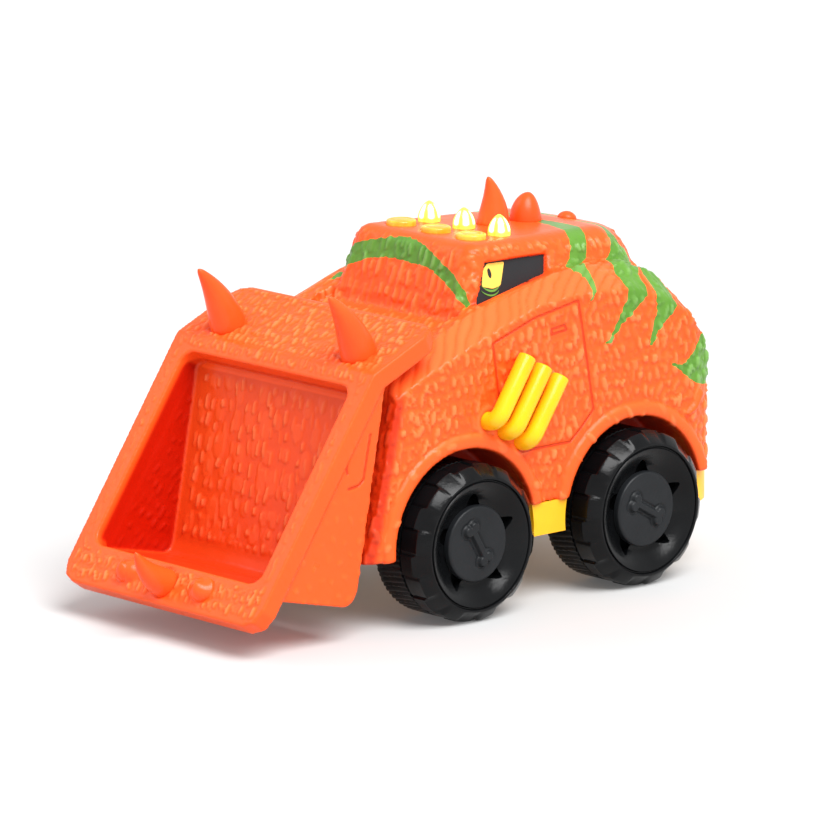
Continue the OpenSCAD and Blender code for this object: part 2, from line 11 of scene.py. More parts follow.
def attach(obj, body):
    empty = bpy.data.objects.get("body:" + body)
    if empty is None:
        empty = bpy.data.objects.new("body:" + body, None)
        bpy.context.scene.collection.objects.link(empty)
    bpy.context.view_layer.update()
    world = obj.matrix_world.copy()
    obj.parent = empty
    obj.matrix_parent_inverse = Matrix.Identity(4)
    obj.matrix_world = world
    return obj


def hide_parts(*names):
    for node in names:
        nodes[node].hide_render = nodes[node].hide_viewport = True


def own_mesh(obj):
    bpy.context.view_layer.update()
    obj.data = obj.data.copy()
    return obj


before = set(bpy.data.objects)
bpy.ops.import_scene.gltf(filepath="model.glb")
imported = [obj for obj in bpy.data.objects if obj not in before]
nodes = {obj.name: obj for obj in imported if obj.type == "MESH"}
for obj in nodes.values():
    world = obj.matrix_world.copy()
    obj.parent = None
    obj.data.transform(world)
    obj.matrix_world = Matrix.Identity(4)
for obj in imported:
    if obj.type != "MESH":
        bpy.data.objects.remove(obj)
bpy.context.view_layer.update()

MM = 0.001
SIDES = ((1, "left"), (-1, "right"))

# ---------- measures shared with the CAD model, in millimetres ----------

BODY_HALF_W = 51
CAB_HALF_W = 38
CAB_LEAN = math.radians(19)
ROOF_Z = 128.2
ROOF_FRONT_Y = 15
ROOF_SLOPE = math.atan(2 / 61)
FRONT_AXLE_Y = -10.7
REAR_AXLE_Y = 70.8
WHEEL_R = 28.3
TRACK_HALF_W = 60
WELL_R = WHEEL_R + 4.9
BEND = Vector((0, -54.4, 94.2))
FACE_LEAN = math.radians(34.4)
FACE_LEN = 98.5
PLATE_RISE = math.radians(23.8)
BUTTON_PITCH = 18.6
BUTTON_Y = 22.1
PAD_BASE = 118.6
PAD_HEIGHT = 4.7
DOME_Y = 35.6
HORN_Y = 49.5
SPIKE_Y = 65.5
NUB_Y = 86
NUB_SLOPE = math.radians(10.1)
PIPE_R = 3.3
PIPE_LEN = 26.5
PIPE_X = 55.9
PIPE_STARTS = [(0.3 + 7.9 * i, 69.8 - 4.7 * i) for i in range(3)]

FACE_UP = Vector((0, math.sin(FACE_LEAN), math.cos(FACE_LEAN)))
FACE_OUT = Vector((0, -math.cos(FACE_LEAN), math.sin(FACE_LEAN)))
PLATE_BACK = Vector((0, math.cos(PLATE_RISE), math.sin(PLATE_RISE)))
PLATE_OUT = Vector((0, -math.sin(PLATE_RISE), math.cos(PLATE_RISE)))


# ---------- small tools ----------

def new_object(name, bm, smooth=True):
    """A linked object from a bmesh, which is used up."""
    mesh = bpy.data.meshes.new(name)
    bm.to_mesh(mesh)
    bm.free()
    obj = bpy.data.objects.new(name, mesh)
    bpy.context.scene.collection.objects.link(obj)
    mesh.polygons.foreach_set("use_smooth", [smooth] * len(mesh.polygons))
    return obj


def finish_piece(obj, body, slot, material, *replaced):
    """Puts a finished piece on its body with its material, and hides the CAD nodes it stands for."""
    obj.data.materials.clear()
    obj.data.materials.append(material)
    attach(obj, body)
    if replaced:
        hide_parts(*replaced)
    return obj


def applied(obj):
    """The object's mesh with its modifiers applied, put back in place of its own mesh."""
    bpy.context.view_layer.update()
    graph = bpy.context.evaluated_depsgraph_get()
    mesh = bpy.data.meshes.new_from_object(obj.evaluated_get(graph))
    obj.modifiers.clear()
    obj.data = mesh
    return obj


def arrays(mesh):
    """Vertex positions in millimetres and vertex normals."""
    count = len(mesh.vertices)
    co = np.zeros(count * 3)
    mesh.vertices.foreach_get("co", co)
    normal = np.zeros(count * 3)
    mesh.vertex_normals.foreach_get("vector", normal)
    return co.reshape(-1, 3) / MM, normal.reshape(-1, 3)


def set_positions(mesh, co):
    mesh.vertices.foreach_set("co", (co * MM).ravel())
    mesh.update()


def set_attributes(mesh, **fields):
    """Stores numbers on a mesh's points, under the names that the materials read."""
    for name, values in fields.items():
        attribute = mesh.attributes.new(name, "FLOAT", "POINT")
        attribute.data.foreach_set("value", np.asarray(values, dtype=np.float32))


def in_frame(co, matrix):
    """The same points as seen in a matrix's own axes."""
    return (co - np.array(matrix.translation)) @ np.array(matrix.to_3x3())


def place(bm, frame_matrix):
    """Moves a bmesh made in millimetres into the row frame."""
    bmesh.ops.transform(bm, matrix=Matrix.Scale(MM, 4) @ frame_matrix, verts=bm.verts)


def closed_solid(name, bm, matrix, smooth=True, sharp=None):
    """A bmesh made in millimetres as an object, facing outward, placed, with sharp edges past an angle."""
    bmesh.ops.recalc_face_normals(bm, faces=bm.faces)
    place(bm, matrix)
    obj = new_object(name, bm, smooth)
    if sharp:
        obj.data.set_sharp_from_angle(angle=math.radians(sharp))
    return obj


def axes(origin, x_axis, y_axis, z_axis):
    """A matrix whose columns are the given axes and origin, in millimetres."""
    m = Matrix.Identity(4)
    for i, column in enumerate((x_axis, y_axis, z_axis, origin)):
        for j in range(3):
            m[j][i] = column[j]
    return m


X_AXIS = Vector((1, 0, 0))
ON_FACE = axes(BEND, X_AXIS, FACE_UP, FACE_OUT)
ON_PLATE = axes(BEND, X_AXIS, PLATE_BACK, PLATE_OUT)


def on_roof(y):
    z = ROOF_Z - (y - ROOF_FRONT_Y) * math.tan(ROOF_SLOPE)
    return Matrix.Translation((0, y, z)) @ Matrix.Rotation(-ROOF_SLOPE, 4, "X")


def on_top(i, y, z=ROOF_Z):
    """Frame of a button or dome: the i-th place from the middle, towards the left."""
    return Matrix.Translation((i * BUTTON_PITCH, y, z))


def on_nub():
    return Matrix.Translation((0, NUB_Y, ROOF_Z - 3.55)) @ Matrix.Rotation(-NUB_SLOPE, 4, "X")


def on_axle(side, y):
    """Frame of a wheel: z points outward, x points down on the left side and up on the right."""
    return Matrix.Translation((side * TRACK_HALF_W, y, WHEEL_R)) @ Matrix.Rotation(side * math.pi / 2, 4, "Y")


def on_window(side):
    """Frame of a cab side: x along the toy, y up the side, z outward, origin at the CAD's turning line."""
    across = Vector((side * math.cos(CAB_LEAN), 0, math.sin(CAB_LEAN)))
    up = Vector((-side * math.sin(CAB_LEAN), 0, math.cos(CAB_LEAN)))
    return axes(Vector((side * CAB_HALF_W, 0, 103)), Vector((0, 1, 0)), up, across)


def rings_to_mesh(bm, rings):
    """Skins a list of rings of points, each ring closed, and caps both ends."""
    rows = [[bm.verts.new(p) for p in ring] for ring in rings]
    count = len(rows[0])
    for a, b in zip(rows, rows[1:]):
        for i in range(count):
            j = (i + 1) % count
            bm.faces.new((a[i], a[j], b[j], b[i]))
    bm.faces.new(list(reversed(rows[0])))
    bm.faces.new(rows[-1])


def around(sides):
    """Angles of evenly spaced points round a circle."""
    return [2 * math.pi * k / sides for k in range(sides)]


def round_point(radius, height, angle):
    return Vector((radius * math.cos(angle), radius * math.sin(angle), height))


def sweep(bm, path, radii, sides=40):
    """Round rings of the given radii along a path of points, without twist."""
    path = [Vector(p) for p in path]
    across = None
    rings = []
    for i, point in enumerate(path):
        ahead = path[min(i + 1, len(path) - 1)] - path[max(i - 1, 0)]
        ahead.normalize()
        if across is None:
            across = ahead.orthogonal().normalized()
        across = (across - ahead * across.dot(ahead)).normalized()
        other = ahead.cross(across)
        rings.append([
            point + (across * math.cos(t) + other * math.sin(t)) * radii[i] for t in around(sides)
        ])
    rings_to_mesh(bm, rings)


# ---------- relief patterns ----------

def hashed(i, j, seed):
    """Repeatable scatter from 0 to 1 for whole-number cells."""
    x = np.sin(i * 127.1 + j * 311.7 + seed * 74.7) * 43758.5453
    return x - np.floor(x)


def smooth_step(t):
    t = np.clip(t, 0, 1)
    return t * t * (3 - 2 * t)


def bumps(u, v, cell, half, angle, turn, seed):
    """Heights 0 to 1 of scattered long bumps: one to a cell, half = (half length, half width)."""
    height = np.zeros_like(u)
    row = np.floor(v / cell[1])
    for dv in (-1, 0, 1):
        cv = row + dv
        shift = 0.5 * cell[0] * (cv % 2)
        column = np.floor((u - shift) / cell[0])
        for du in (-1, 0, 1):
            cu = column + du
            centre_u = (cu + 0.5 + 0.5 * (hashed(cu, cv, seed) - 0.5)) * cell[0] + shift
            centre_v = (cv + 0.5 + 0.5 * (hashed(cu, cv, seed + 1) - 0.5)) * cell[1]
            a = np.radians(angle + turn * (2 * hashed(cu, cv, seed + 2) - 1))
            x, y = u - centre_u, v - centre_v
            along = x * np.sin(a) + y * np.cos(a)
            aside = x * np.cos(a) - y * np.sin(a)
            long = half[0] * (0.5 + 0.8 * hashed(cu, cv, seed + 3))
            wide = half[1] * (0.7 + 0.6 * hashed(cu, cv, seed + 4))
            inside = 1 - np.abs(along / long) ** 2.4 - np.abs(aside / wide) ** 2.4
            tall = 0.35 + 0.65 * hashed(cu, cv, seed + 5)
            height = np.maximum(height, smooth_step(inside * 1.5) * tall)
    return height


def waves(u, v, size, seed):
    """Slow smooth unevenness from -1 to 1."""
    i, j = np.floor(u / size), np.floor(v / size)
    fu, fv = smooth_step(u / size - i), smooth_step(v / size - j)
    low = hashed(i, j, seed) * (1 - fu) + hashed(i + 1, j, seed) * fu
    high = hashed(i, j + 1, seed) * (1 - fu) + hashed(i + 1, j + 1, seed) * fu
    return 2 * (low * (1 - fv) + high * fv) - 1


def facing(normal, direction, start=0.55, full=0.85):
    """Weight of the surface that faces a direction."""
    return smooth_step((normal @ np.array(direction) - start) / (full - start))


def line_distance(u, v, points, closed=False):
    """Distance of each (u, v) to a chain of straight lines."""
    best = np.full_like(u, 1e9)
    ends = list(zip(points, points[1:] + points[:1])) if closed else list(zip(points, points[1:]))
    for (ax, ay), (bx, by) in ends:
        dx, dy = bx - ax, by - ay
        t = np.clip(((u - ax) * dx + (v - ay) * dy) / (dx * dx + dy * dy), 0, 1)
        best = np.minimum(best, np.hypot(u - ax - t * dx, v - ay - t * dy))
    return best


def inside_distance(u, v, points):
    """Signed distance to a closed outline, positive inside."""
    inside = np.zeros(u.shape, bool)
    for (ax, ay), (bx, by) in zip(points, points[1:] + points[:1]):
        crosses = (ay > v) != (by > v)
        x = (bx - ax) * (v - ay) / (by - ay + 1e-12) + ax
        inside ^= crosses & (u < x)
    edge = line_distance(u, v, points, closed=True)
    return np.where(inside, edge, -edge)


# ---------- materials ----------

class Graph:
    """Short hand for building a material's nodes."""

    def __init__(self, name):
        self.material = bpy.data.materials.new(name)
        self.material.use_nodes = True
        self.tree = self.material.node_tree
        self.shader = self.tree.nodes["Principled BSDF"]
        self.place = self.node("ShaderNodeTexCoord").outputs["Object"]

    def node(self, kind, **settings):
        made = self.tree.nodes.new(kind)
        for key, value in settings.items():
            setattr(made, key, value)
        return made

    def link(self, a, b):
        self.tree.links.new(a, b)

    def feed(self, socket, value):
        """Gives a socket a number, a colour or another node's output."""
        if isinstance(value, (int, float)):
            socket.default_value = value
        elif isinstance(value, tuple):
            socket.default_value = (*value, 1)
        else:
            self.link(value, socket)

    def noise(self, scale, detail=3.0, rough=0.55, vector=None):
        n = self.node("ShaderNodeTexNoise")
        n.inputs["Scale"].default_value = scale
        n.inputs["Detail"].default_value = detail
        n.inputs["Roughness"].default_value = rough
        self.link(vector or self.place, n.inputs["Vector"])
        return n.outputs["Fac"]

    def attribute(self, name):
        return self.node("ShaderNodeAttribute", attribute_name=name).outputs["Fac"]

    def between(self, value, low, high, to_low=0.0, to_high=1.0):
        n = self.node("ShaderNodeMapRange", interpolation_type="SMOOTHSTEP")
        for key, number in (("From Min", low), ("From Max", high), ("To Min", to_low), ("To Max", to_high)):
            n.inputs[key].default_value = number
        self.link(value, n.inputs["Value"])
        return n.outputs["Result"]

    def blend(self, factor, a, b):
        n = self.node("ShaderNodeMix", data_type="RGBA")
        for socket, value in (("Factor", factor), (6, a), (7, b)):
            self.feed(n.inputs[socket], value)
        return n.outputs[2]

    def math(self, operation, a, b=0.0):
        n = self.node("ShaderNodeMath", operation=operation)
        self.feed(n.inputs[0], a)
        self.feed(n.inputs[1], b)
        return n.outputs[0]

    def bump(self, height, strength, distance, normal=None):
        n = self.node("ShaderNodeBump")
        n.inputs["Strength"].default_value = strength
        n.inputs["Distance"].default_value = distance
        self.link(height, n.inputs["Height"])
        if normal is not None:
            self.link(normal, n.inputs["Normal"])
        return n.outputs["Normal"]

    def set(self, **values):
        for key, value in values.items():
            self.feed(self.shader.inputs[key.replace("_", " ")], value)
        return self.material


def moulded(name, colour, rough=0.36, pebble=0.0, mottle=0.06, shine=0.4):
    """Injection-moulded plastic: slight mottle, an uneven gloss and a fine moulded skin."""
    g = Graph(name)
    cloud = g.noise(35, 4)
    fine = g.noise(900, 3)
    deep = tuple(c * (1 - 2.2 * mottle) for c in colour)
    light = tuple(min(1, c * (1 + mottle) + 0.001) for c in colour)
    base = g.blend(g.between(cloud, 0.3, 0.7), deep, light)
    gloss = g.between(g.noise(120, 5), 0.25, 0.75, rough - 0.05, rough + 0.07)
    normal = g.bump(fine, 0.18, 0.0003)
    if pebble:
        normal = g.bump(g.noise(330, 2), pebble, 0.0006, normal)
    return g.set(Base_Color=base, Roughness=gloss, Normal=normal, Specular_IOR_Level=shine)


ORANGE = (0.96, 0.101, 0.0125)
# Painted highlight: the lighter orange laid on the tops of the bumps and folds.
ORANGE_HIGHLIGHT = (1.0, 0.28, 0.095)
# Painted shade: the dark orange laid in crevices, engraved lines, the tub, the wheel wells, the windows and
# behind the bucket.
ORANGE_SHADE = (0.44, 0.008, 0.0008)
GREEN = (0.078, 0.215, 0.023)


def painted_orange(name, with_paint):
    """The scaly orange moulding: a painted highlight on the tops of the relief, painted shade in its
    crevices, in the engraved lines and in deep places, and sprayed green stripes.
    """
    g = Graph(name)
    relief = g.attribute("relief")
    cloud = g.noise(28, 4)
    base = g.blend(g.between(cloud, 0.3, 0.7), tuple(c * 0.93 for c in ORANGE), ORANGE)
    # Painted highlight on the tops of the bumps and folds, read from relief.
    base = g.blend(g.math("MULTIPLY", g.between(relief, 0.2, 1.15), 0.45), base, ORANGE_HIGHLIGHT)
    # Painted shade in the low crevices between the bumps.
    base = g.blend(g.math("MULTIPLY", g.between(relief, 0.2, 0.0), 0.1), base, ORANGE_SHADE)
    # Painted shade in deep places, from the depth attribute.
    base = g.blend(g.attribute("depth"), base, ORANGE_SHADE)
    if with_paint:
        ragged = g.math("MULTIPLY", g.math("SUBTRACT", g.noise(420, 3), 0.5), 1.6)
        edge = g.math("ADD", g.attribute("paint"), ragged)
        paint = g.blend(g.between(g.noise(60, 3), 0.35, 0.65), GREEN, (0.102, 0.255, 0.03))
        # Painted highlight on the stripes where the relief is raised.
        green = g.blend(g.between(relief, 0.25, 1.0), paint, (0.16, 0.34, 0.075))
        base = g.blend(g.between(edge, -0.15, 0.15), base, green)
    # Painted shade in the engraved lines, which the bump below also cuts in.
    groove = g.between(g.attribute("groove"), 0.62, 0.3)
    base = g.blend(g.math("MULTIPLY", groove, 0.6), base, ORANGE_SHADE)
    gloss = g.between(g.noise(90, 5), 0.25, 0.75, 0.27, 0.38)
    normal = g.bump(g.noise(300, 3), 0.25, 0.0006)
    normal = g.bump(g.noise(1100, 2), 0.12, 0.0003, normal)
    normal = g.bump(g.math("SUBTRACT", 1.0, groove), 0.6, 0.0005, normal)
    return g.set(Base_Color=base, Roughness=gloss, Normal=normal, Specular_IOR_Level=0.23)


def lit_dome():
    """Clear amber lens lit from inside: white hot in the middle of each facet, deep yellow on its ridges."""
    g = Graph("lit_lens")
    facet = g.attribute("facet")
    cloud = g.noise(300, 2)
    hot = g.math("ADD", facet, g.math("MULTIPLY", g.math("SUBTRACT", cloud, 0.5), 0.3))
    glow = g.blend(g.between(hot, 0.1, 0.75), (1.0, 0.52, 0.03), (1.0, 0.9, 0.5))
    strength = g.between(hot, 0.05, 0.8, 0.7, 3.0)
    normal = g.bump(g.noise(500, 2), 0.15, 0.0004)
    light = {"Emission_Color": glow, "Emission_Strength": strength}
    return g.set(Base_Color=(0.95, 0.6, 0.08), Roughness=0.15, Normal=normal, **light)


def lit_button():
    """Translucent amber button with a painted glow that stands in for the light it catches from its dome."""
    g = Graph("amber_button")
    cloud = g.noise(160, 3)
    base = g.blend(g.between(cloud, 0.3, 0.7), (0.95, 0.27, 0.008), (1.0, 0.42, 0.03))
    # Painted glow: emission for the dome's light caught in the button.
    glow = g.blend(g.between(cloud, 0.4, 0.7), (1.0, 0.33, 0.01), (1.0, 0.6, 0.08))
    normal = g.bump(g.noise(500, 2), 0.2, 0.0004)
    return g.set(Base_Color=base, Roughness=0.28, Normal=normal, Emission_Color=glow, Emission_Strength=0.22)


def metal(name, colour, rough):
    g = Graph(name)
    streak = g.node("ShaderNodeMapping")
    streak.inputs["Scale"].default_value = (1, 12, 12)
    g.link(g.place, streak.inputs["Vector"])
    lines = g.noise(300, 4, vector=streak.outputs["Vector"])
    base = g.blend(g.between(lines, 0.3, 0.7), tuple(c * 0.85 for c in colour), colour)
    gloss = g.between(lines, 0.2, 0.8, rough - 0.06, rough + 0.1)
    return g.set(Base_Color=base, Metallic=1.0, Roughness=gloss, Normal=g.bump(lines, 0.1, 0.0002))


MATERIALS = {
    "painted": painted_orange("orange_scales_painted", True),
    "orange": painted_orange("orange_scales", False),
    "horn": moulded("horn_orange", (0.96, 0.086, 0.0095), 0.33, shine=0.26),
    "yellow": moulded("yellow_moulding", (1.0, 0.46, 0.004), 0.32, pebble=0.1),
    "pipe": moulded("yellow_pipe", (1.0, 0.47, 0.005), 0.25, shine=0.3),
    "window": moulded("window_black", (0.014, 0.015, 0.017), 0.34, shine=0.3),
    "eye": moulded("eye_yellow", (0.9, 0.6, 0.09), 0.4),
    "pupil": moulded("eye_black", (0.015, 0.015, 0.015), 0.35),
    "lid": moulded("eye_green", (0.11, 0.3, 0.04), 0.4),
    "button": lit_button(),
    "dome": lit_dome(),
    "lamp": moulded("lamp_clear", (1.0, 0.93, 0.75), 0.2),
    "rubber": moulded("pad_grey", (0.09, 0.09, 0.092), 0.7),
    "board": moulded("board_green", (0.01, 0.07, 0.02), 0.4, mottle=0.15),
    "speaker": moulded("speaker_black", (0.015, 0.015, 0.016), 0.6),
    "cell": moulded("cell_sleeve", (0.02, 0.02, 0.022), 0.35),
    "steel": metal("zinc_steel", (0.62, 0.62, 0.64), 0.33),
    "black": moulded("switch_black", (0.02, 0.02, 0.022), 0.5),
    "wheel": moulded("wheel_black", (0.0028, 0.0031, 0.0036), 0.2, pebble=0.04, mottle=0.12, shine=0.17),
    "hub": moulded("hub_black", (0.010, 0.0113, 0.013), 0.42, pebble=0.12, mottle=0.1, shine=0.2),
}


# ---------- skins made from the CAD solids ----------

def solid_copy(bm, node):
    """Adds a copy of a CAD node's mesh, in millimetres."""
    mesh = nodes[node].data
    verts = [bm.verts.new(Vector(v.co) / MM) for v in mesh.vertices]
    for polygon in mesh.polygons:
        bm.faces.new([verts[i] for i in polygon.vertices])


def filler_box(bm, low, high):
    size = [b - a for a, b in zip(low, high)]
    centre = [(a + b) / 2 for a, b in zip(low, high)]
    matrix = Matrix.Translation(centre) @ Matrix.Diagonal((*size, 1))
    bmesh.ops.create_cube(bm, size=1, matrix=matrix)


def filler_plug(bm, matrix, radius, low, high):
    """A round plug along the frame's z, from low to high."""
    move = matrix @ Matrix.Translation((0, 0, (low + high) / 2))
    bmesh.ops.create_cone(
        bm, cap_ends=True, segments=32, radius1=radius, radius2=radius, depth=high - low, matrix=move
    )


def skin(name, bm, voxel, passes):
    """One even quad skin over everything in the bmesh, with its edges softened."""
    place(bm, Matrix.Identity(4))
    obj = new_object(name, bm)
    remesh = obj.modifiers.new("skin", "REMESH")
    remesh.mode = "VOXEL"
    remesh.voxel_size = voxel * MM
    soften = obj.modifiers.new("soften", "SMOOTH")
    soften.factor = 0.5
    soften.iterations = passes
    applied(obj)
    obj.data.polygons.foreach_set("use_smooth", [True] * len(obj.data.polygons))
    return obj


# Stripes as outlines of (distance along the toy, height up its side and on over its roof).
STRIPES = [
    [
        (66.5, 162), (64.4, 148), (62, 140), (60.4, 134.5), (58.8, 129), (56.8, 122), (50.1, 115.5),
        (52.4, 113), (51.9, 110.7), (49.9, 108), (49, 104.7), (53.6, 109.6), (55.6, 112.4),
        (57.1, 115.8), (64.8, 120.8), (67.6, 129.6), (69.3, 135.8), (70.9, 140), (71.6, 147), (71, 154),
        (69.7, 162),
    ],
    [
        (81.6, 162), (82.5, 150), (82, 142), (80, 134.3), (78.3, 128), (77.2, 122), (70, 115.2),
        (67.9, 113), (68.3, 108.3), (67.9, 105.6), (66.4, 102.4), (61.1, 94), (56.8, 89.5),
        (59.6, 89.7), (64.9, 95.2), (71, 99.5), (77.1, 104.1), (79.2, 106.6), (79, 110.5), (85, 113),
        (91.9, 120), (91.4, 126), (88, 133), (87.5, 142), (86, 150), (84, 162),
    ],
    [
        (82.6, 110), (82.2, 104.2), (82.3, 100.3), (81.8, 97), (80.3, 93.7), (78.7, 86), (80.3, 85.6),
        (81.8, 88.9), (84.1, 92), (89.5, 95.8), (92.5, 98.5), (93.5, 103), (91, 109), (86, 114),
    ],
    [
        (86.5, 79.7), (90.4, 77.9), (95.1, 76.8), (97.4, 78.2), (101.1, 81.1), (106, 86), (114, 90),
        (121, 80), (121, 66), (112, 66.5), (104.1, 68.4), (99.1, 70.5), (95.1, 73.9),
    ],
]

# The arched band on the cab's front, as (x, height).
BROW_BAND = [
    (-41, 110), (-36, 116), (-28.5, 121.3), (-22, 123.3), (-11.3, 125.8), (-2, 127), (7.7, 125.4),
    (20.4, 120.2), (26.6, 117.6), (31.6, 112.9), (35, 106), (32, 108.2), (29, 111), (24, 113.8),
    (14.7, 117.7), (9, 118.5), (-7, 119), (-13.6, 118.4), (-20, 117.2), (-28, 113.9), (-34, 110.3),
    (-38, 106),
]

# Outlines in a window's own plane.
WINDOW = [(8.7, 5.0), (16.5, 19.7), (46.4, 19.1), (44.3, 12.3)]
EYE = [(14.1, 11.4), (16.2, 17), (18.8, 19.2), (26.9, 18.9), (24.5, 14), (22.8, 10.7), (19.0, 10.0)]

# Outlines and lines on the body's side, as (distance along the toy, height).
DOOR = [(3, 97), (23, 103.5), (44, 107), (48.2, 84.9), (51.4, 66.5), (45, 60.5), (40, 56.4), (9, 56.4)]
DOOR_HANDLE = [(31, 96.4), (31, 98.4), (37.3, 99), (38.3, 97.2)]
SPUR = [(97.2, 58.6), (101, 60.2), (104.4, 64.6)]
# Lines on the bucket's outer sides, in the same way.
BUCKET_SCORE = [(-54.7, 72.9), (-58, 57.5), (-60.2, 55.6), (-65, 55)]
BUCKET_THUMB = [(-64.4, 66.2), (-65.4, 64.4), (-65.8, 62.2), (-65.4, 60.4)]

# Kinds of bumps: (cell, (half length, half width), angle, spread of the angles, seed), in mm and degrees.
SIDE_LUMPS = ((4.1, 5.6), (2.6, 1.2), 4, 32, 11)
SIDE_PEBBLES = ((3.0, 3.3), (1.3, 0.8), 0, 90, 31)
FRONT_DASHES = ((4.1, 7.4), (3.9, 1.05), 0, 12, 51)
FRONT_GRAINS = ((3.1, 4.2), (1.8, 0.8), 0, 30, 71)
BACK_LUMPS = ((4.9, 6.2), (2.9, 1.45), 4, 30, 91)
BACK_PEBBLES = ((3.3, 3.6), (1.5, 0.95), 0, 90, 111)
TOP_DASHES = ((3.6, 5.6), (2.8, 0.85), -20, 16, 131)
LIP_MARKS = ((6.5, 9), (2.2, 1.3), 70, 25, 191)
FACE_DASHES = ((3.1, 4.8), (2.4, 0.8), -14, 22, 211)
FACE_GRAINS = ((2.6, 3.4), (1.2, 0.6), 10, 60, 231)
PLATE_DASHES = ((3.2, 5.6), (2.9, 0.8), -20, 12, 251)
PLATE_GRAINS = ((2.7, 3.6), (1.4, 0.6), -20, 25, 271)
TUB_SCALES = ((8.6, 10.5), (4.2, 2.6), 0, 5, 291)
TUB_BARK = ((4.3, 6.8), (2.8, 0.8), 1, 10, 311)
TUB_STROKES = ((3.6, 6.2), (2.6, 0.75), -8, 14, 331)
TUB_BACK_DASHES = ((4.1, 7.4), (3.9, 1.05), 0, 12, 351)
FLANK_PEBBLES = ((5.6, 6.8), (1.6, 1.1), 0, 80, 361)

# A distance that stands for "nowhere near".
FAR = 9.0
GROOVE_DEPTH = 0.45


def layered(u, v, large, small, share):
    """Two kinds of bumps over each other, the small ones lower."""
    return np.maximum(bumps(u, v, *large), share * bumps(u, v, *small))


def horn_grooves(co, seats):
    """How deep the skin dips in the seam round each horn's foot."""
    dip = np.zeros(len(co))
    for matrix, radius in seats:
        local = in_frame(co, matrix)
        away = np.hypot(local[:, 0], local[:, 1])
        near = (np.abs(local[:, 2]) < 4) & (away < radius + 2)
        dip = np.maximum(dip, near * smooth_step(1 - np.abs(away - radius) / 0.9))
    return GROOVE_DEPTH * dip


# ---------- body ----------

ROOF_SEATS = [(on_roof(HORN_Y), 5.0), (on_roof(SPIKE_Y), 5.4), (on_nub(), 3.5)]

# Slabs that close the hollow body from inside, as (front, back, half width), between two heights.
FILL_LOW, FILL_HIGH = 38, 41
FILL_MIDDLE = (-50.6, 117, 30.4)
FILL_SIDES = ((-50.6, -43.5, 47), (22.2, 37.9, 49.5), (103.6, 107, 47), (106, 112, 42))


def body_solid():
    """The CAD shell with its panes, its hollow and its holes closed, so that the skin is only an outside."""
    bm = bmesh.new()
    for node in ("body_shell", "window_left", "window_right"):
        solid_copy(bm, node)
    front, back, middle = FILL_MIDDLE
    filler_box(bm, (-middle, front, FILL_LOW), (middle, back, FILL_HIGH))
    for side in (-1, 1):
        for front, back, reach in FILL_SIDES:
            inner, outer = sorted((side * 30, side * reach))
            filler_box(bm, (inner, front, FILL_LOW), (outer, back, FILL_HIGH))
        for y, z in PIPE_STARTS:
            inner, outer = sorted((side * 46.5, side * (BODY_HALF_W - 0.3)))
            filler_box(bm, (inner, y - 3.2, z - 3.2), (outer, y + 3.2, z + 3.2))
    for i in (-1, 0, 1):
        filler_plug(bm, on_top(i, BUTTON_Y), 6.6, -3.4, -1.1)
        filler_plug(bm, on_top(i, DOME_Y), 5.2, -3.6, -1.4)
    for y in (HORN_Y, SPIKE_Y):
        filler_plug(bm, on_roof(y), 5.0, -3.5, -0.4)
    filler_plug(bm, on_nub(), 2.9, -2.4, -0.3)
    return bm


def ridge_folds(co):
    """The slanting folds along the two fenders, from 0 in a crease to 1 on a fold."""
    x, y, z = co.T
    along = y + 1.1 * (np.abs(x) - 45) - 0.25 * z
    along = along + 3.0 * waves(y, x, 13, 401) + 1.3 * waves(y, x, 6, 402)
    fold = along / 5.6
    share = fold - np.floor(fold)
    return (1 - np.abs(2 * share - 1) ** 4) * (0.6 + 0.4 * hashed(np.floor(fold), np.sign(x), 403))


def fender_zone(co, normal):
    """1 on the rounded tops of the two fenders."""
    x, y, z = co.T
    zone = smooth_step((np.abs(x) - 38.5) / 2.5) * smooth_step((normal[:, 2] - 0.25) / 0.3)
    return zone * (z < 118) * smooth_step((72 - y) / 14)


def seen_by_windows(co):
    """For each window: its frame, the points as seen in it, and how far inside its outline they are."""
    for side in (1, -1):
        matrix = on_window(side)
        local = in_frame(co, matrix)
        yield matrix, local, inside_distance(local[:, 0], local[:, 1], WINDOW)


def window_zone(co):
    """Two weights: 1 round and inside the cab's windows, and 1 there below the cab's surface."""
    zone = np.zeros(len(co))
    sunk = np.zeros(len(co))
    for _, local, within in seen_by_windows(co):
        near = smooth_step((within + 1.8) / 1.2) * (np.abs(local[:, 2]) < 6)
        zone = np.maximum(zone, near)
        sunk = np.maximum(sunk, near * smooth_step(-local[:, 2] / 0.8))
    return zone, sunk


def window_pockets(co):
    """The same points with those inside the window outlines pushed in below the panes."""
    moved = co.copy()
    for matrix, local, within in seen_by_windows(co):
        pushed = (within > 0) & (np.abs(local[:, 2]) < 5) & (local[:, 2] > -1.8)
        local[:, 2] = -1.8
        back = local @ np.array(matrix.to_3x3()).T + np.array(matrix.translation)
        moved[pushed] = back[pushed]
    return moved


def arch_distance(co):
    """Distance from the nearer axle, seen from the side."""
    y, z = co[:, 1], co[:, 2]
    return np.minimum(np.hypot(y - FRONT_AXLE_Y, z - WHEEL_R), np.hypot(y - REAR_AXLE_Y, z - WHEEL_R))


def well_zone(co):
    """1 inside the wheel arches, 0 on the outside."""
    return smooth_step((WELL_R + 0.6 - arch_distance(co)) / 0.8)


def arch_lip_zone(co):
    """1 on the raised lips round the wheel arches."""
    return smooth_step((WELL_R + 5.2 - arch_distance(co)) / 0.8) * (np.abs(co[:, 0]) > 49)


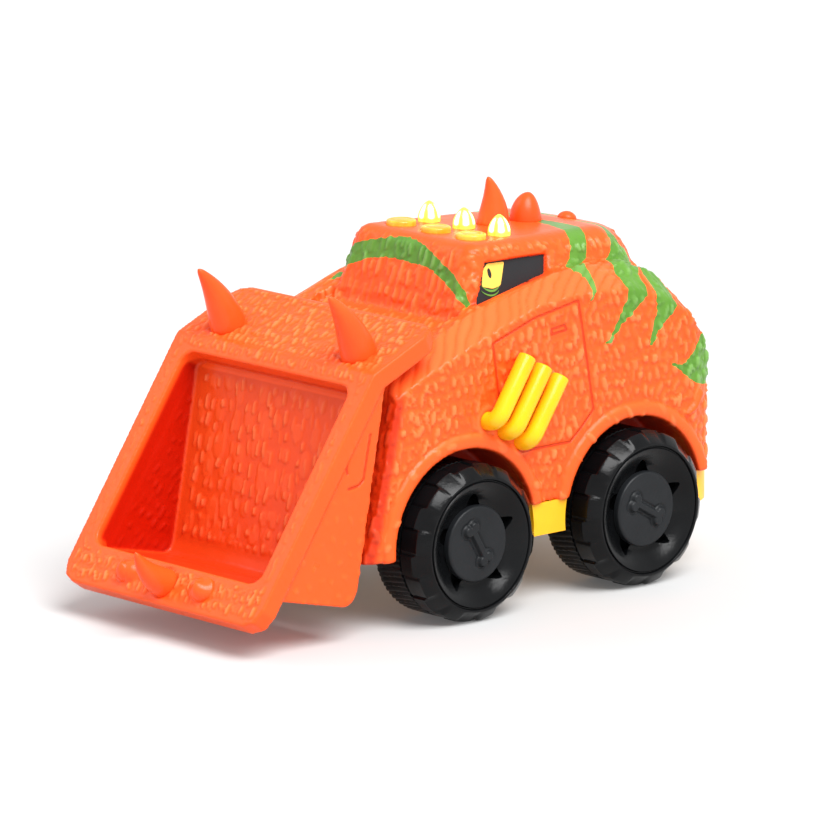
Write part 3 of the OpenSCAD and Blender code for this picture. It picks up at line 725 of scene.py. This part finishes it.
def body_scales(co, normal):
    """Height of the scales, dashes and folds all over the body, in millimetres."""
    x, y, z = co.T
    top = facing(normal, (0, 0, 1), 0.6, 0.9)
    fender = fender_zone(co, normal)
    height = facing(np.abs(normal), (1, 0, 0), 0.45, 0.8) * layered(y, z, SIDE_LUMPS, SIDE_PEBBLES, 0.6)
    height += facing(normal, (0, -1, 0), 0.5, 0.8) * layered(x, z, FRONT_DASHES, FRONT_GRAINS, 0.55) * 0.8
    height += facing(normal, (0, 1, 0), 0.35, 0.7) * layered(x, z, BACK_LUMPS, BACK_PEBBLES, 0.6) * 0.95
    height += top * bumps(x, y, *TOP_DASHES) * np.where(z > 119, 0.2, 0.9)
    height = height * (1 - fender) + fender * ridge_folds(co) * 0.9
    height *= 1 - 0.8 * smooth_step((z - 119) / 3) * top
    height *= 1 - well_zone(co)
    height += 0.12 * waves(y, z + x, 9, 171)
    return height * (1 - window_zone(co)[0])


def with_arch_lips(co, height):
    """The relief with the lips round the wheel arches: plain, but for a few slanting marks."""
    y, z = co[:, 1], co[:, 2]
    lip = arch_lip_zone(co)
    round_arch = np.arctan2(z - WHEEL_R, y - np.where(y < 30, FRONT_AXLE_Y, REAR_AXLE_Y)) * WELL_R
    return height * (1 - lip) + lip * (0.3 + 0.5 * bumps(round_arch, np.hypot(y, z), *LIP_MARKS))


def door_lines(co, on_side):
    """Distance to the engraved lines of the door and its handle."""
    y, z = co[:, 1], co[:, 2]
    lines = np.minimum(line_distance(y, z, DOOR, closed=True), line_distance(y, z, DOOR_HANDLE, closed=True))
    return np.where(on_side & (arch_lip_zone(co) <= 0.2), lines, FAR)


def with_seams(co, height, on_side, groove):
    """The relief with the door's lines and the seams behind the arch lips cut in, and a plain handle."""
    handle = smooth_step(inside_distance(co[:, 1], co[:, 2], DOOR_HANDLE) + 1.6)
    lip_edge = arch_distance(co) - WELL_R - 5.4
    height = height * (1 - on_side * handle * 0.9)
    height *= 1 - on_side * 0.8 * smooth_step(1.6 - groove)
    height -= 0.5 * smooth_step(1.3 - groove / 0.75)
    return height - GROOVE_DEPTH * on_side * smooth_step(1 - np.abs(lip_edge) / 1.1)


def with_pipe_rings(co, height, on_side):
    """The relief with a low ring round the inlet of each exhaust pipe."""
    for y, z in PIPE_STARTS:
        away = np.hypot(co[:, 1] - y, co[:, 2] - z)
        ring = on_side * smooth_step(1.6 - np.abs(away - 4.6))
        height = np.maximum(height * (1 - on_side * smooth_step(5.8 - away)), ring * 0.55)
    return height


def spur_zone(co, on_side):
    """1 along the curved spur behind the rear arch, which grows thicker towards its end."""
    y, z = co[:, 1], co[:, 2]
    size = np.interp(y, (97, 105), (1.0, 2.3))
    return on_side * smooth_step(1.25 - line_distance(y, z, SPUR) / size)


def stripe_paint(co, normal):
    """Distance inside the painted stripes, and inside the band on the cab's front."""
    x, y, z = co.T
    inward = np.clip(46 - np.abs(x), 0, None)
    climb = z + 0.9 * np.clip(inward - 9, 0, None)
    paint = np.full(len(co), -FAR)
    for outline in STRIPES:
        paint = np.maximum(paint, inside_distance(y, climb, outline))
    steep = (normal[:, 1] < -0.35) | ((y < 12) & (normal[:, 1] < -0.12))
    paint = np.where(steep & (y < 16) & (z > 100), inside_distance(x, z, BROW_BAND), paint)
    return np.clip(paint, -FAR, FAR)


def body_shade(co):
    """1 where the body is in deep shade: behind the bucket, in the wheel wells and in the windows."""
    # The weights are painted shade, put into the orange colour as the depth attribute.
    y, z = co[:, 1], co[:, 2]
    front_wall = -51.6 + 0.24 * (z - 42)
    behind_bucket = smooth_step((front_wall + 4.5 - y) / 3) * smooth_step((88 - z) / 8)
    return np.maximum(0.75 * behind_bucket, np.maximum(0.6 * window_zone(co)[1], 0.9 * well_zone(co)))


def make_body():
    """The orange moulding: a skin over the CAD shell with relief, engraved lines and stripes."""
    obj = skin("body_moulding", body_solid(), 0.7, 4)
    mesh = obj.data
    co, normal = arrays(mesh)
    on_side = (np.abs(co[:, 0]) > 47) & (np.abs(normal[:, 0]) > 0.5)
    groove = door_lines(co, on_side)
    height = with_arch_lips(co, body_scales(co, normal))
    height = with_seams(co, height, on_side, groove)
    height = with_pipe_rings(co, height, on_side)
    spur = spur_zone(co, on_side)
    height = np.where(spur > 0, np.maximum(height, 1.7 * spur), height)
    height -= horn_grooves(co, ROOF_SEATS)
    fender = fender_zone(co, normal)
    # relief is the mask of the painted highlight on the bump tops and of the painted shade in the crevices;
    # on the fenders it follows the folds, and the spur gets little of it.
    relief = np.clip(height / 0.8, 0, 1.2)
    relief = relief * (1 - fender) + fender * (0.4 + 0.25 * ridge_folds(co))
    relief *= 1 - 0.8 * smooth_step(spur * 2)
    set_positions(mesh, window_pockets(co + normal * height[:, None]))
    paint = stripe_paint(co, normal)
    # depth carries the painted shade behind the bucket, in the wheel wells and in the windows; groove carries
    # the painted shade of the engraved lines.
    set_attributes(mesh, paint=paint, relief=relief, groove=groove, depth=body_shade(co))
    finish_piece(obj, "toy_body", "orange_plastic", MATERIALS["painted"], "body_shell")


# ---------- bucket ----------

BROW_HORN = {side: ON_PLATE @ Matrix.Translation((side * 35, 9.5, 0)) for side, _ in SIDES}
LIP_HORN = ON_FACE @ Matrix.Translation((0, 8 - FACE_LEN, 0))
LIP_BUMP_X = 20.2
BROW_HORN_R = 6.5
LIP_HORN_R = 5.3
BUCKET_SEATS = [(BROW_HORN[-1], BROW_HORN_R), (BROW_HORN[1], BROW_HORN_R), (LIP_HORN, LIP_HORN_R)]
# A place in the middle of the tub's hollow: its inner walls face this way.
TUB_MIDDLE = BEND - 45 * FACE_UP - 20 * FACE_OUT


class BucketPlaces:
    """Where the bucket's points are: up and out from its face, back and out from its plate, in its tub."""

    def __init__(self, co, normal):
        self.x, self.y, self.z = co.T
        self.normal = normal
        self.wide = np.abs(self.x)
        local = co - np.array(BEND)
        self.face_s = local @ np.array(FACE_UP)
        self.face_d = local @ np.array(FACE_OUT)
        self.plate_s = local @ np.array(PLATE_BACK)
        self.plate_d = local @ np.array(PLATE_OUT)
        self.on_face = facing(normal, FACE_OUT, 0.75, 0.92) * (self.face_d > -1.5) * (self.face_s < 1)
        faces_in = ((np.array(TUB_MIDDLE) - co) * normal).sum(axis=1) > 0
        inner = smooth_step((-1.5 - self.face_d) / 2) * (self.wide < 44.9)
        inner = inner * smooth_step((-7.2 - self.plate_d) / 1.5)
        self.inner = inner * (self.face_s < -5) * (self.z > 14.5) * faces_in
        self.back_wall = facing(normal, (0, -1, 0), 0.8, 0.95) * self.inner
        self.side_wall = facing(np.abs(normal), (1, 0, 0), 0.8, 0.95) * self.inner
        self.floor_wall = facing(normal, (0, 0, 1), 0.6, 0.9) * self.inner
        self.outer_side = (self.wide > 50) & (np.abs(normal[:, 0]) > 0.7) & (self.face_d < -7.5)


def bucket_front(at):
    """Dashes on the bucket's lip, brow, side bars and top plate."""
    border = smooth_step((50.3 - at.wide) / 1.6)
    lip = smooth_step((-83.8 - at.face_s) / 1.5) * smooth_step((at.face_s + 96.8) / 1.4)
    brow = smooth_step((at.face_s + 5.8) / 1.5)
    bar = smooth_step((at.wide - 46.8) / 1.0) * (at.face_s < -3)
    face_zone = np.maximum(lip, np.maximum(0.85 * brow, 0.5 * bar))
    face = at.on_face * border * face_zone * layered(at.x, at.face_s, FACE_DASHES, FACE_GRAINS, 0.5)
    on_plate = facing(at.normal, PLATE_OUT, 0.75, 0.92) * (at.plate_d > -1.5) * (at.plate_s > -1)
    plate_ends = smooth_step((31.2 - at.plate_s) / 1.5) * smooth_step((at.plate_s - 1.0) / 1.2)
    plate = on_plate * border * plate_ends * layered(at.x, at.plate_s, PLATE_DASHES, PLATE_GRAINS, 0.5)
    return face * 0.85 + plate * 0.9


def tub_inside(at):
    """Bark on the tub's back wall and strokes on its side walls."""
    scales = 0.3 * np.minimum(1, bumps(at.x, at.z, *TUB_SCALES) * 4)
    bark = np.maximum(scales, bumps(at.x, at.z, *TUB_BARK))
    edge = smooth_step((41.2 - at.wide) / 1.5) * smooth_step((at.z - 23) / 2) * smooth_step((82.5 - at.z) / 2)
    strokes = bumps(at.face_d, at.face_s, *TUB_STROKES) * smooth_step((-9 - at.face_d) / 2)
    return at.back_wall * bark * edge * 0.9 + at.side_wall * strokes * 0.6


def tub_outside(at):
    """Dashes on the tub's back and pebbles low on its flanks."""
    back = facing(at.normal, (0, 1, -0.2), 0.7, 0.9) * (at.face_d < -8)
    flank = at.outer_side * smooth_step((60 - at.z) / 20)
    dashes = back * bumps(at.x, at.z, *TUB_BACK_DASHES) * 0.5
    return dashes + flank * 0.3 * bumps(at.y, at.z, *FLANK_PEBBLES)


def mouth_distance(at):
    """Distance to the edge of the bucket's mouth."""
    mouth = [(-44.5, -6), (44.5, -6), (44.5, -82.9), (-44.5, -82.9)]
    return line_distance(at.x, at.face_s, mouth, closed=True)


def make_bucket():
    """The bucket with its slab frame, scaly plate, lip and back wall."""
    bm = bmesh.new()
    solid_copy(bm, "bucket")
    for matrix, radius in BUCKET_SEATS:
        filler_plug(bm, matrix, radius - 0.4, -6, -0.4)
    obj = skin("bucket_moulding", bm, 0.66, 4)
    mesh = obj.data
    co, normal = arrays(mesh)
    at = BucketPlaces(co, normal)
    lines = np.minimum(line_distance(at.y, at.z, BUCKET_SCORE), line_distance(at.y, at.z, BUCKET_THUMB))
    groove = np.where(at.outer_side, lines, FAR)
    height = bucket_front(at) + tub_inside(at)
    height *= 1 - at.on_face * smooth_step(2.6 - mouth_distance(at))
    height += tub_outside(at)
    height -= GROOVE_DEPTH * smooth_step(1.3 - groove / 0.75)
    height -= horn_grooves(co, BUCKET_SEATS)
    for side in (-1, 1):
        away = np.hypot(at.x - side * LIP_BUMP_X, at.face_s + FACE_LEN - 9)
        height *= 1 - at.on_face * smooth_step((6.0 - away) / 1.2)
    set_positions(mesh, co + normal * height[:, None])
    # Painted shade inside the tub, stored as depth; relief carries the painted highlight on the bump tops and
    # the painted shade in the crevices, and groove the painted shade of the scored lines.
    corners = at.inner * (1 - at.back_wall - at.side_wall - at.floor_wall)
    shade = 0.36 * at.back_wall + at.side_wall + 0.6 * at.floor_wall + 0.5 * corners
    relief = np.clip(height / 0.65, 0, 1.2)
    set_attributes(mesh, relief=relief, groove=groove, depth=np.clip(shade, 0, 1))
    finish_piece(obj, "bucket_body", "orange_plastic", MATERIALS["orange"], "bucket")


# ---------- horns ----------

def horn(name, body, seat, radius, tip, knee, profile, *replaced, foot=1.2):
    """A horn whose middle line curves from its foot by way of its knee to its tip."""
    steps = 34
    path, radii = [Vector((0, 0, -foot))], [radius]
    for i in range(steps + 1):
        t = 1 - (1 - i / steps) ** 1.5
        path.append(2 * t * (1 - t) * Vector(knee) + t * t * Vector(tip))
        radii.append(max(radius * profile(t), 0.02))
    bm = bmesh.new()
    sweep(bm, path, radii)
    finish_piece(closed_solid(name, bm, seat), body, "horn_plastic", MATERIALS["horn"], *replaced)


def claw(t):
    """Radius of a slender horn: nearly straight, then rounded off."""
    return (1 - 0.88 * t ** 1.5) * math.sqrt(max(0.0, 1 - max(0.0, (t - 0.92) / 0.08) ** 2))


def stout(t):
    """Radius of a stout rounded spike."""
    return max(0.0, 1 - t ** 1.9) ** 0.55


def blunt(t):
    """Radius of a low pointed nub."""
    return max(0.0, 1 - t ** 1.35) ** 0.75


def make_horns():
    for side, name in SIDES:
        horn(
            "brow_spike_" + name, "bucket_body", BROW_HORN[side], BROW_HORN_R,
            (0, -3.7, 25.4), (0, 1.1, 12.8), claw, "brow_horn_" + name,
        )
    horn("lip_spike", "bucket_body", LIP_HORN, LIP_HORN_R, (0, 3.4, 18.0), (0, -1.6, 9.5), claw, "lip_horn")
    for side, name in SIDES:
        seat = ON_FACE @ Matrix.Translation((side * LIP_BUMP_X, 9 - FACE_LEN, 0))
        horn("lip_bump_" + name, "bucket_body", seat, 4.9, (0, 1.0, 4.9), (0, -0.6, 2.5), blunt)
    tall, short = on_roof(HORN_Y), on_roof(SPIKE_Y)
    horn("roof_spike_tall", "toy_body", tall, 5.9, (0, -2.8, 17.3), (0, 1.4, 8.5), claw, "roof_horn")
    horn("roof_spike_short", "toy_body", short, 5.8, (0, 1.9, 9.8), (0, -0.4, 4.8), stout, "roof_spike")
    horn("roof_bump", "toy_body", on_nub(), 3.5, (0, 0, 2.5), (0, 0, 1.2), stout, "roof_nub", foot=0.5)


# ---------- exhaust pipes ----------

PIPE_LEAN = math.radians(34)
PIPE_BEND = 4.6
# How each pipe's flat end is rounded off, as (distance back from the end, how much narrower).
PIPE_END = ((0.9, 0), (0.45, 0.12), (0.15, 0.4), (0, 0.8), (0, 2.2))


def make_pipes():
    """Three bent pipes on each side, each one smooth tube from its inlet to its flat end."""
    rise = Vector((0, math.sin(PIPE_LEAN), math.cos(PIPE_LEAN)))
    for side, name in SIDES:
        bm = bmesh.new()
        out = Vector((side, 0, 0))
        for y, z in PIPE_STARTS:
            corner = Vector((side * PIPE_X, y, z))
            near, far = corner - out * PIPE_BEND, corner + rise * PIPE_BEND
            path = [Vector((side * (BODY_HALF_W - 1.2), y, z)), near]
            for i in range(1, 13):
                t = i / 12
                path.append((1 - t) ** 2 * near + 2 * t * (1 - t) * corner + t * t * far)
            radii = [PIPE_R] * len(path)
            for back, shrink in PIPE_END:
                path.append(corner + rise * PIPE_LEN - rise * back)
                radii.append(PIPE_R - shrink)
            # A hair's breadth between rings, so that the last two don't lie in one place.
            sweep(bm, [p + rise * 0.001 * i for i, p in enumerate(path)], radii)
        obj = closed_solid("exhaust_tubes_" + name, bm, Matrix.Identity(4))
        finish_piece(obj, "toy_body", "pipe_plastic", MATERIALS["pipe"], "exhaust_" + name)


# ---------- wheels ----------

TREAD_BLOCKS = 20
FACE_R = 24
BLOCK_END = -11.2
# Where rings lie across the shoulder and down the side of a tread block, from 0 to 1.
SHOULDER_RINGS = (0.08, 0.3, 0.55, 0.8, 0.97, 1.0)
BLOCK_RINGS = (0.04, 0.25, 0.5, 0.75, 0.97, 1.0)
# Heights of the rings over the groove and the ribbed inner band.
BAND_RINGS = (-11.4, -12.4, -12.6, -14, -17, -20, -23, -25.2)
# The wheel's face as (radius, height along the axle): hub seat, dish and ring groove.
DISH = [
    (13.2, -4.6), (14.3, -4.6), (15.0, -4.55), (16.0, -4.1), (17.2, -3.3), (18.6, -2.3), (19.8, -1.4),
    (20.9, -0.7), (21.8, -0.25), (22.3, -0.05), (22.55, -0.35), (22.7, -0.8), (22.95, -0.8), (23.1, -0.35),
    (23.35, 0.0), (FACE_R, 0.0),
]
# The wheel's hollow back in the same way, from the tread's inner edge to the axle's bore.
WHEEL_BACK = [
    (27.0, -26.2), (25.8, -27), (24.3, -27), (24.2, -26), (24.0, -8), (6, -8), (5, -9), (5, -27), (1.85, -27),
    (1.85, -5),
]


def tread_place(angle, height):
    """Which tread block this is, and how far along it."""
    turn = angle / (2 * math.pi) * TREAD_BLOCKS + 0.02 * (height + 4)
    return math.floor(turn) % 2, turn - math.floor(turn)


def shoulder_edge(angle):
    """Height at which the sloping shoulder meets the tread: it steps up and down from block to block."""
    odd, along = tread_place(angle, -4)
    step = min(1.0, along / 0.16, (1 - along) / 0.06)
    return -4.3 - (1.5 * step if odd else -0.9 * step)


def tread_depth(angle, height):
    """How deep the tread is cut at this place: steps between blocks, and fine ribs inboard."""
    odd, along = tread_place(angle, height)
    depth = 0.0 if odd else 0.35
    if along < 0.07:
        depth = 0.7
    if height < -12.5:
        depth = 0.3 + (0.35 if math.cos(8 * math.pi * along) > 0.2 else 0)
    if -12.5 < height < -11.3:
        depth = 1.0
    return depth


def make_wheel(name, side, y, body, node, spin):
    """A wheel with five claw-shaped holes in its dish, a stepped shoulder and a ribbed inner tread."""
    angles = around(360)
    rings = [[round_point(radius, height, a) for a in angles] for radius, height in DISH]
    for t in SHOULDER_RINGS:
        wide = FACE_R + (WHEEL_R - FACE_R) * t
        rings.append([
            round_point(wide - t ** 7 * tread_depth(a, -4), shoulder_edge(a) * t ** 1.15, a) for a in angles
        ])
    for t in BLOCK_RINGS:
        rings.append([
            round_point(WHEEL_R - tread_depth(a, -4), shoulder_edge(a) * (1 - t) + BLOCK_END * t, a)
            for a in angles
        ])
    for height in BAND_RINGS:
        rings.append([round_point(WHEEL_R - tread_depth(a, height), height, a) for a in angles])
    rings += [[round_point(radius, height, a) for a in angles] for radius, height in WHEEL_BACK]
    bm = bmesh.new()
    rings_to_mesh(bm, rings)
    obj = closed_solid(name, bm, Matrix.Identity(4))
    cutter = claw_cutters(spin)
    cut = obj.modifiers.new("claws", "BOOLEAN")
    cut.operation = "DIFFERENCE"
    cut.object = cutter
    cut.solver = "EXACT"
    applied(obj)
    bpy.data.objects.remove(cutter)
    matrix = Matrix.Scale(MM, 4) @ on_axle(side, y) @ Matrix.Scale(1 / MM, 4)
    obj.data.transform(matrix)
    obj.data.polygons.foreach_set("use_smooth", [True] * len(obj.data.polygons))
    obj.data.set_sharp_from_angle(angle=math.radians(38))
    finish_piece(obj, body, "wheel_plastic", MATERIALS["wheel"], node)


CLAW_HOLE = [
    (12.8, -3.4), (15.4, -2.3), (17.3, -0.5), (18.3, 1.0), (18.1, 1.8), (16.8, 2.3), (14.8, 2.8), (12.8, 3.2),
]


def claw_cutters(spin):
    """Five claw-shaped prisms that cut through the wheel's dish."""
    bm = bmesh.new()
    for i in range(5):
        turned = Matrix.Rotation(spin + i * 2 * math.pi / 5, 4, "Z")
        rings_to_mesh(bm, [[turned @ Vector((u, v, z)) for u, v in CLAW_HOLE] for z in (-7.6, 3)])
    return closed_solid("claw_cutters", bm, Matrix.Identity(4), smooth=False)


def bone_height(u, v):
    """Signed distance inside the raised bone, along u."""
    bar = min(7 - abs(u), 1.35 - abs(v))
    knob = max(1.95 - math.hypot(abs(u) - 6.6, abs(v) - 1.5), 1.3 - math.hypot(abs(u) - 5.4, abs(v)))
    return max(bar, knob)


def make_hub(name, side, y, body, node, turn):
    """Round cap with a softly raised bone on its face."""
    bm = bmesh.new()
    rim = 13.7
    steps = 46
    angles = around(200)
    edge = ((rim, -4.5), (rim, -2.7), (rim - 0.1, -2.4), (rim - 0.35, -2.1), (rim - 0.75, -1.93))
    rings = [[round_point(radius, height, a) for a in angles] for radius, height in edge]
    for i in range(steps):
        radius = (rim - 1.1) * (1 - i / steps) + 0.02
        ring = []
        for a in angles:
            u, v = radius * math.cos(a - turn), radius * math.sin(a - turn)
            deep = bone_height(u, v)
            lift = float(smooth_step(np.array((deep + 0.35) / 0.9))) * 1.3
            moat = 0.36 * math.exp(-((deep + 0.75) / 0.4) ** 2)
            ring.append(round_point(radius, -1.9 + lift - moat, a))
        rings.append(ring)
    rings_to_mesh(bm, rings)
    obj = closed_solid(name, bm, on_axle(side, y), sharp=50)
    finish_piece(obj, body, "hub_plastic", MATERIALS["hub"], node)


def make_wheels():
    places = (("front", FRONT_AXLE_Y, "front_wheels", 30), ("rear", REAR_AXLE_Y, "rear_wheels", 60))
    for row, y, body, bone_turn in places:
        for side, name in SIDES:
            tag = row + "_" + name
            spin = math.pi / 2 + side * math.pi / 2
            make_wheel("tyre_" + tag, side, y, body, "wheel_" + tag, spin)
            make_hub("cap_" + tag, side, y, body, "hub_" + tag, math.radians(bone_turn))


# ---------- window and eye ----------

def flat_piece(name, outline, matrix, low, high, edge=0.0):
    """A thin plate with the given outline, from low to high along the frame's z, its top edge eased."""
    bm = bmesh.new()
    points = [Vector((u, v, 0)) for u, v in outline]
    middle = sum(points, Vector()) / len(points)
    rings_to_mesh(bm, [
        [p + (middle - p).normalized() * inset + Vector((0, 0, height)) for p in points]
        for height, inset in ((low, 0.0), (high - edge, 0.0), (high, edge))
    ])
    return closed_solid(name, bm, matrix, smooth=False)


def rounded(outline, radius, steps=5):
    """The same outline with its corners rounded."""
    done = []
    count = len(outline)
    for i in range(count):
        before, here, after = (Vector(outline[(i + k) % count]) for k in (-1, 0, 1))
        a = here + (before - here).normalized() * radius
        b = here + (after - here).normalized() * radius
        for k in range(steps + 1):
            t = k / steps
            done.append(tuple((1 - t) ** 2 * a + 2 * t * (1 - t) * here + t * t * b))
    return done


def make_windows():
    """Dark panes set in the cab's sides, each with a printed eye."""
    for side, name in SIDES:
        matrix = on_window(side)
        pane = flat_piece("pane_" + name, rounded(WINDOW, 0.5), matrix, -3, -1.4, 0.12)
        finish_piece(pane, "toy_body", "window_plastic", MATERIALS["window"], "window_" + name)
        eye = flat_piece("eyeball_" + name, rounded(EYE, 0.9), matrix, -1.6, -1.22, 0.03)
        finish_piece(eye, "toy_body", "eye_print", MATERIALS["eye"], "eye_" + name)
        oval = [(18.9 + 0.85 * math.cos(a), 15.7 + 1.8 * math.sin(a)) for a in around(28)]
        pupil = flat_piece("pupil_" + name, oval, matrix, -1.4, -1.16)
        finish_piece(pupil, "toy_body", "eye_print", MATERIALS["pupil"])
        for n, (drop, thick) in enumerate(((0.0, 0.9), (1.7, 0.6))):
            upper, lower = [], []
            for k in range(13):
                t = k / 12
                bow = math.sin(math.pi * t)
                u, v = 14.1 - 0.7 * n + 8.0 * t, 11.8 - drop - t - 1.5 * bow ** 0.7
                upper.append((u, v))
                lower.append((u, v - thick * (0.35 + 0.65 * bow)))
            lid = flat_piece("eyelid_%s_%d" % (name, n), upper + lower[::-1], matrix, -1.45, -1.2 + 0.01 * n)
            finish_piece(lid, "toy_body", "eye_print", MATERIALS["lid"])


# ---------- buttons and domes ----------

def lathe(name, profile, matrix, sides=48, sharp=None, pleats=0, pleat_depth=0.0):
    """A turned solid from (radius, height) points, optionally pleated."""
    bm = bmesh.new()
    rings = []
    for radius, height in profile:
        rings.append([
            round_point(radius * (1 - pleat_depth * abs(math.sin(pleats * a / 2))), height, a)
            for a in around(sides)
        ])
    rings_to_mesh(bm, rings)
    return closed_solid(name, bm, matrix, sharp=sharp)


def mark_facets(dome, centre_x):
    """Stores how near each point of a dome is to the middle of one of its six facets."""
    co = arrays(dome.data)[0]
    x, y, z = co[:, 0] - centre_x, co[:, 1] - DOME_Y, co[:, 2] - ROOF_Z
    turn = np.arctan2(y, x)
    middle = np.abs(np.sin(3 * turn)) ** 1.5
    height = smooth_step((z + 0.2) / 1.2) * smooth_step((6.3 - z) / 1.8)
    set_attributes(dome.data, facet=middle * height)


# Half sections as (radius, height), from the middle of the bottom round to the middle of the top.
BUTTON_PROFILE = [
    (6.6, -4.9), (6.6, -3), (5.4, -3), (5.4, 0.7), (5.33, 1.05), (5.15, 1.3), (4.8, 1.46), (4.3, 1.5),
    (3.9, 1.47), (3.7, 1.35), (3.5, 1.3), (3.2, 1.36), (2.9, 1.48), (1.8, 1.57), (0.05, 1.6),
]
DOME_PROFILE = [
    (3.2, -4.4), (5.2, -4.4), (5.2, -3.3), (4.2, -3.3), (4.2, 0.2), (4.12, 1.1), (3.9, 2.1), (3.5, 3.1),
    (2.95, 4.1), (2.3, 4.95), (1.55, 5.75), (0.85, 6.3), (0.35, 6.54), (0.03, 6.6),
]
PAD_PROFILE = [
    (0.05, 3.5), (2.3, 3.5), (2.45, 3.35), (4.6, 0), (5.6, 0), (5.5, 0.3), (3.1, 4.45), (2.85, 4.65),
    (2.6, PAD_HEIGHT), (0.05, PAD_HEIGHT),
]


def make_roof_controls():
    """Three buttons on their rubber cones, and the dome behind each."""
    for i, name in ((1, "left"), (0, "middle"), (-1, "right")):
        pad = lathe("rubber_cone_" + name, PAD_PROFILE, on_top(i, BUTTON_Y, PAD_BASE), sharp=50)
        finish_piece(pad, "toy_body", "pad_rubber", MATERIALS["rubber"], "pad_" + name)
        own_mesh(pad)
        button = lathe("push_button_" + name, BUTTON_PROFILE, on_top(i, BUTTON_Y), sharp=50)
        finish_piece(button, "button_%s_body" % name, "amber_button", MATERIALS["button"], "button_" + name)
        place_at = on_top(i, DOME_Y)
        dome = lathe("light_dome_" + name, DOME_PROFILE, place_at, sides=96, pleats=6, pleat_depth=0.08)
        mark_facets(dome, i * BUTTON_PITCH)
        finish_piece(dome, "toy_body", "amber_lens", MATERIALS["dome"], "dome_" + name)


# ---------- CAD pieces kept as they are ----------

def dress(node, material, bevel):
    """A CAD node with welded, eased edges and its material."""
    obj = nodes[node]
    obj.data.materials.clear()
    obj.data.materials.append(material)
    weld = obj.modifiers.new("weld", "WELD")
    weld.merge_threshold = 0.00001
    ease = obj.modifiers.new("ease", "BEVEL")
    ease.width = bevel * MM
    ease.segments = 3
    ease.limit_method = "ANGLE"
    ease.angle_limit = math.radians(35)
    ease.harden_normals = True
    shade = obj.modifiers.new("shade", "WEIGHTED_NORMAL")
    shade.keep_sharp = True


KEPT = {
    "chassis": ("yellow", 0.5), "battery_cover": ("yellow", 0.3), "lamps": ("lamp", 0.1),
    "circuit_board": ("board", 0.1), "speaker": ("speaker", 0.2), "cells": ("cell", 0.3),
    "battery_contacts": ("steel", 0.1), "cover_screw": ("steel", 0.1), "chassis_screws": ("steel", 0.15),
    "power_switch": ("black", 0.2), "hinge_pin": ("steel", 0.2), "front_axle": ("steel", 0.2),
    "rear_axle": ("steel", 0.2),
}


def make_all():
    make_body()
    make_bucket()
    make_horns()
    make_pipes()
    make_wheels()
    make_windows()
    make_roof_controls()
    for node, (material, bevel) in KEPT.items():
        dress(node, MATERIALS[material], bevel)


# ---------- floor, light and camera ----------

def make_stage():
    floor_mesh = bmesh.new()
    bmesh.ops.create_grid(floor_mesh, x_segments=1, y_segments=1, size=4)
    floor = new_object("floor", floor_mesh, smooth=False)
    g = Graph("pale_floor")
    tint = g.blend(g.between(g.noise(3, 2), 0.3, 0.7), (0.51, 0.51, 0.51), (0.53, 0.53, 0.53))
    glow = {"Emission_Color": (1.0, 1.0, 1.0), "Emission_Strength": 0.08}
    floor.data.materials.append(g.set(Base_Color=tint, Roughness=0.7, Specular_IOR_Level=0.2, **glow))
    world = bpy.data.worlds.new("studio")
    world.use_nodes = True
    tree = world.node_tree
    place_at = tree.nodes.new("ShaderNodeTexCoord")
    split = tree.nodes.new("ShaderNodeSeparateXYZ")
    height = tree.nodes.new("ShaderNodeMapRange")
    for name, value in (("From Min", 0.15), ("From Max", 0.75), ("To Min", 1.0), ("To Max", 0.7)):
        height.inputs[name].default_value = value
    tree.nodes["Background"].inputs["Color"].default_value = (1, 1, 1, 1)
    tree.links.new(place_at.outputs["Generated"], split.inputs["Vector"])
    tree.links.new(split.outputs["Z"], height.inputs["Value"])
    tree.links.new(height.outputs["Result"], tree.nodes["Background"].inputs["Strength"])
    bpy.context.scene.world = world
    sun("key", (0.62, -0.10, 0.9), 40, 4.5)
    sun("rim", (-0.7, -0.55, 0.75), 30, 0.4)


def sun(name, towards, spread, strength):
    """A broad soft light from far away, shining from the given direction."""
    light = bpy.data.lights.new(name, "SUN")
    light.energy = strength
    light.angle = math.radians(spread)
    obj = bpy.data.objects.new(name, light)
    obj.rotation_mode = "QUATERNION"
    obj.rotation_quaternion = Vector(towards).to_track_quat("Z", "Y")
    bpy.context.scene.collection.objects.link(obj)


# The camera's azimuth, elevation and roll in degrees, what it looks at in millimetres, its distance from
# that in metres, and its focal length.
CAMERA_ANGLES = (48.265, 11.958, -0.232)
CAMERA_TARGET = (35.48, -23.2, 75.39)
CAMERA_AWAY = 2.551
CAMERA_LENS = 321.2


def make_camera():
    """A long lens from the front left, a little above the toy."""
    azimuth, elevation, roll = (math.radians(a) for a in CAMERA_ANGLES)
    flat = Vector((math.sin(azimuth), -math.cos(azimuth), 0))
    back = flat * math.cos(elevation) + Vector((0, 0, math.sin(elevation)))
    level = Vector((math.cos(azimuth), math.sin(azimuth), 0))
    above = back.cross(level)
    right = level * math.cos(roll) + above * math.sin(roll)
    up = above * math.cos(roll) - level * math.sin(roll)
    camera = bpy.data.objects.new("camera", bpy.data.cameras.new("camera"))
    camera.data.lens = CAMERA_LENS
    camera.data.sensor_width = 36
    camera.data.clip_start, camera.data.clip_end = 0.1, 20
    camera.matrix_world = axes(Vector(CAMERA_TARGET) * MM + back * CAMERA_AWAY, right, up, back)
    bpy.context.scene.collection.objects.link(camera)
    bpy.context.scene.camera = camera
    bpy.context.scene.view_settings.view_transform = "Standard"


make_all()
make_stage()
make_camera()
bpy.context.view_layer.update()
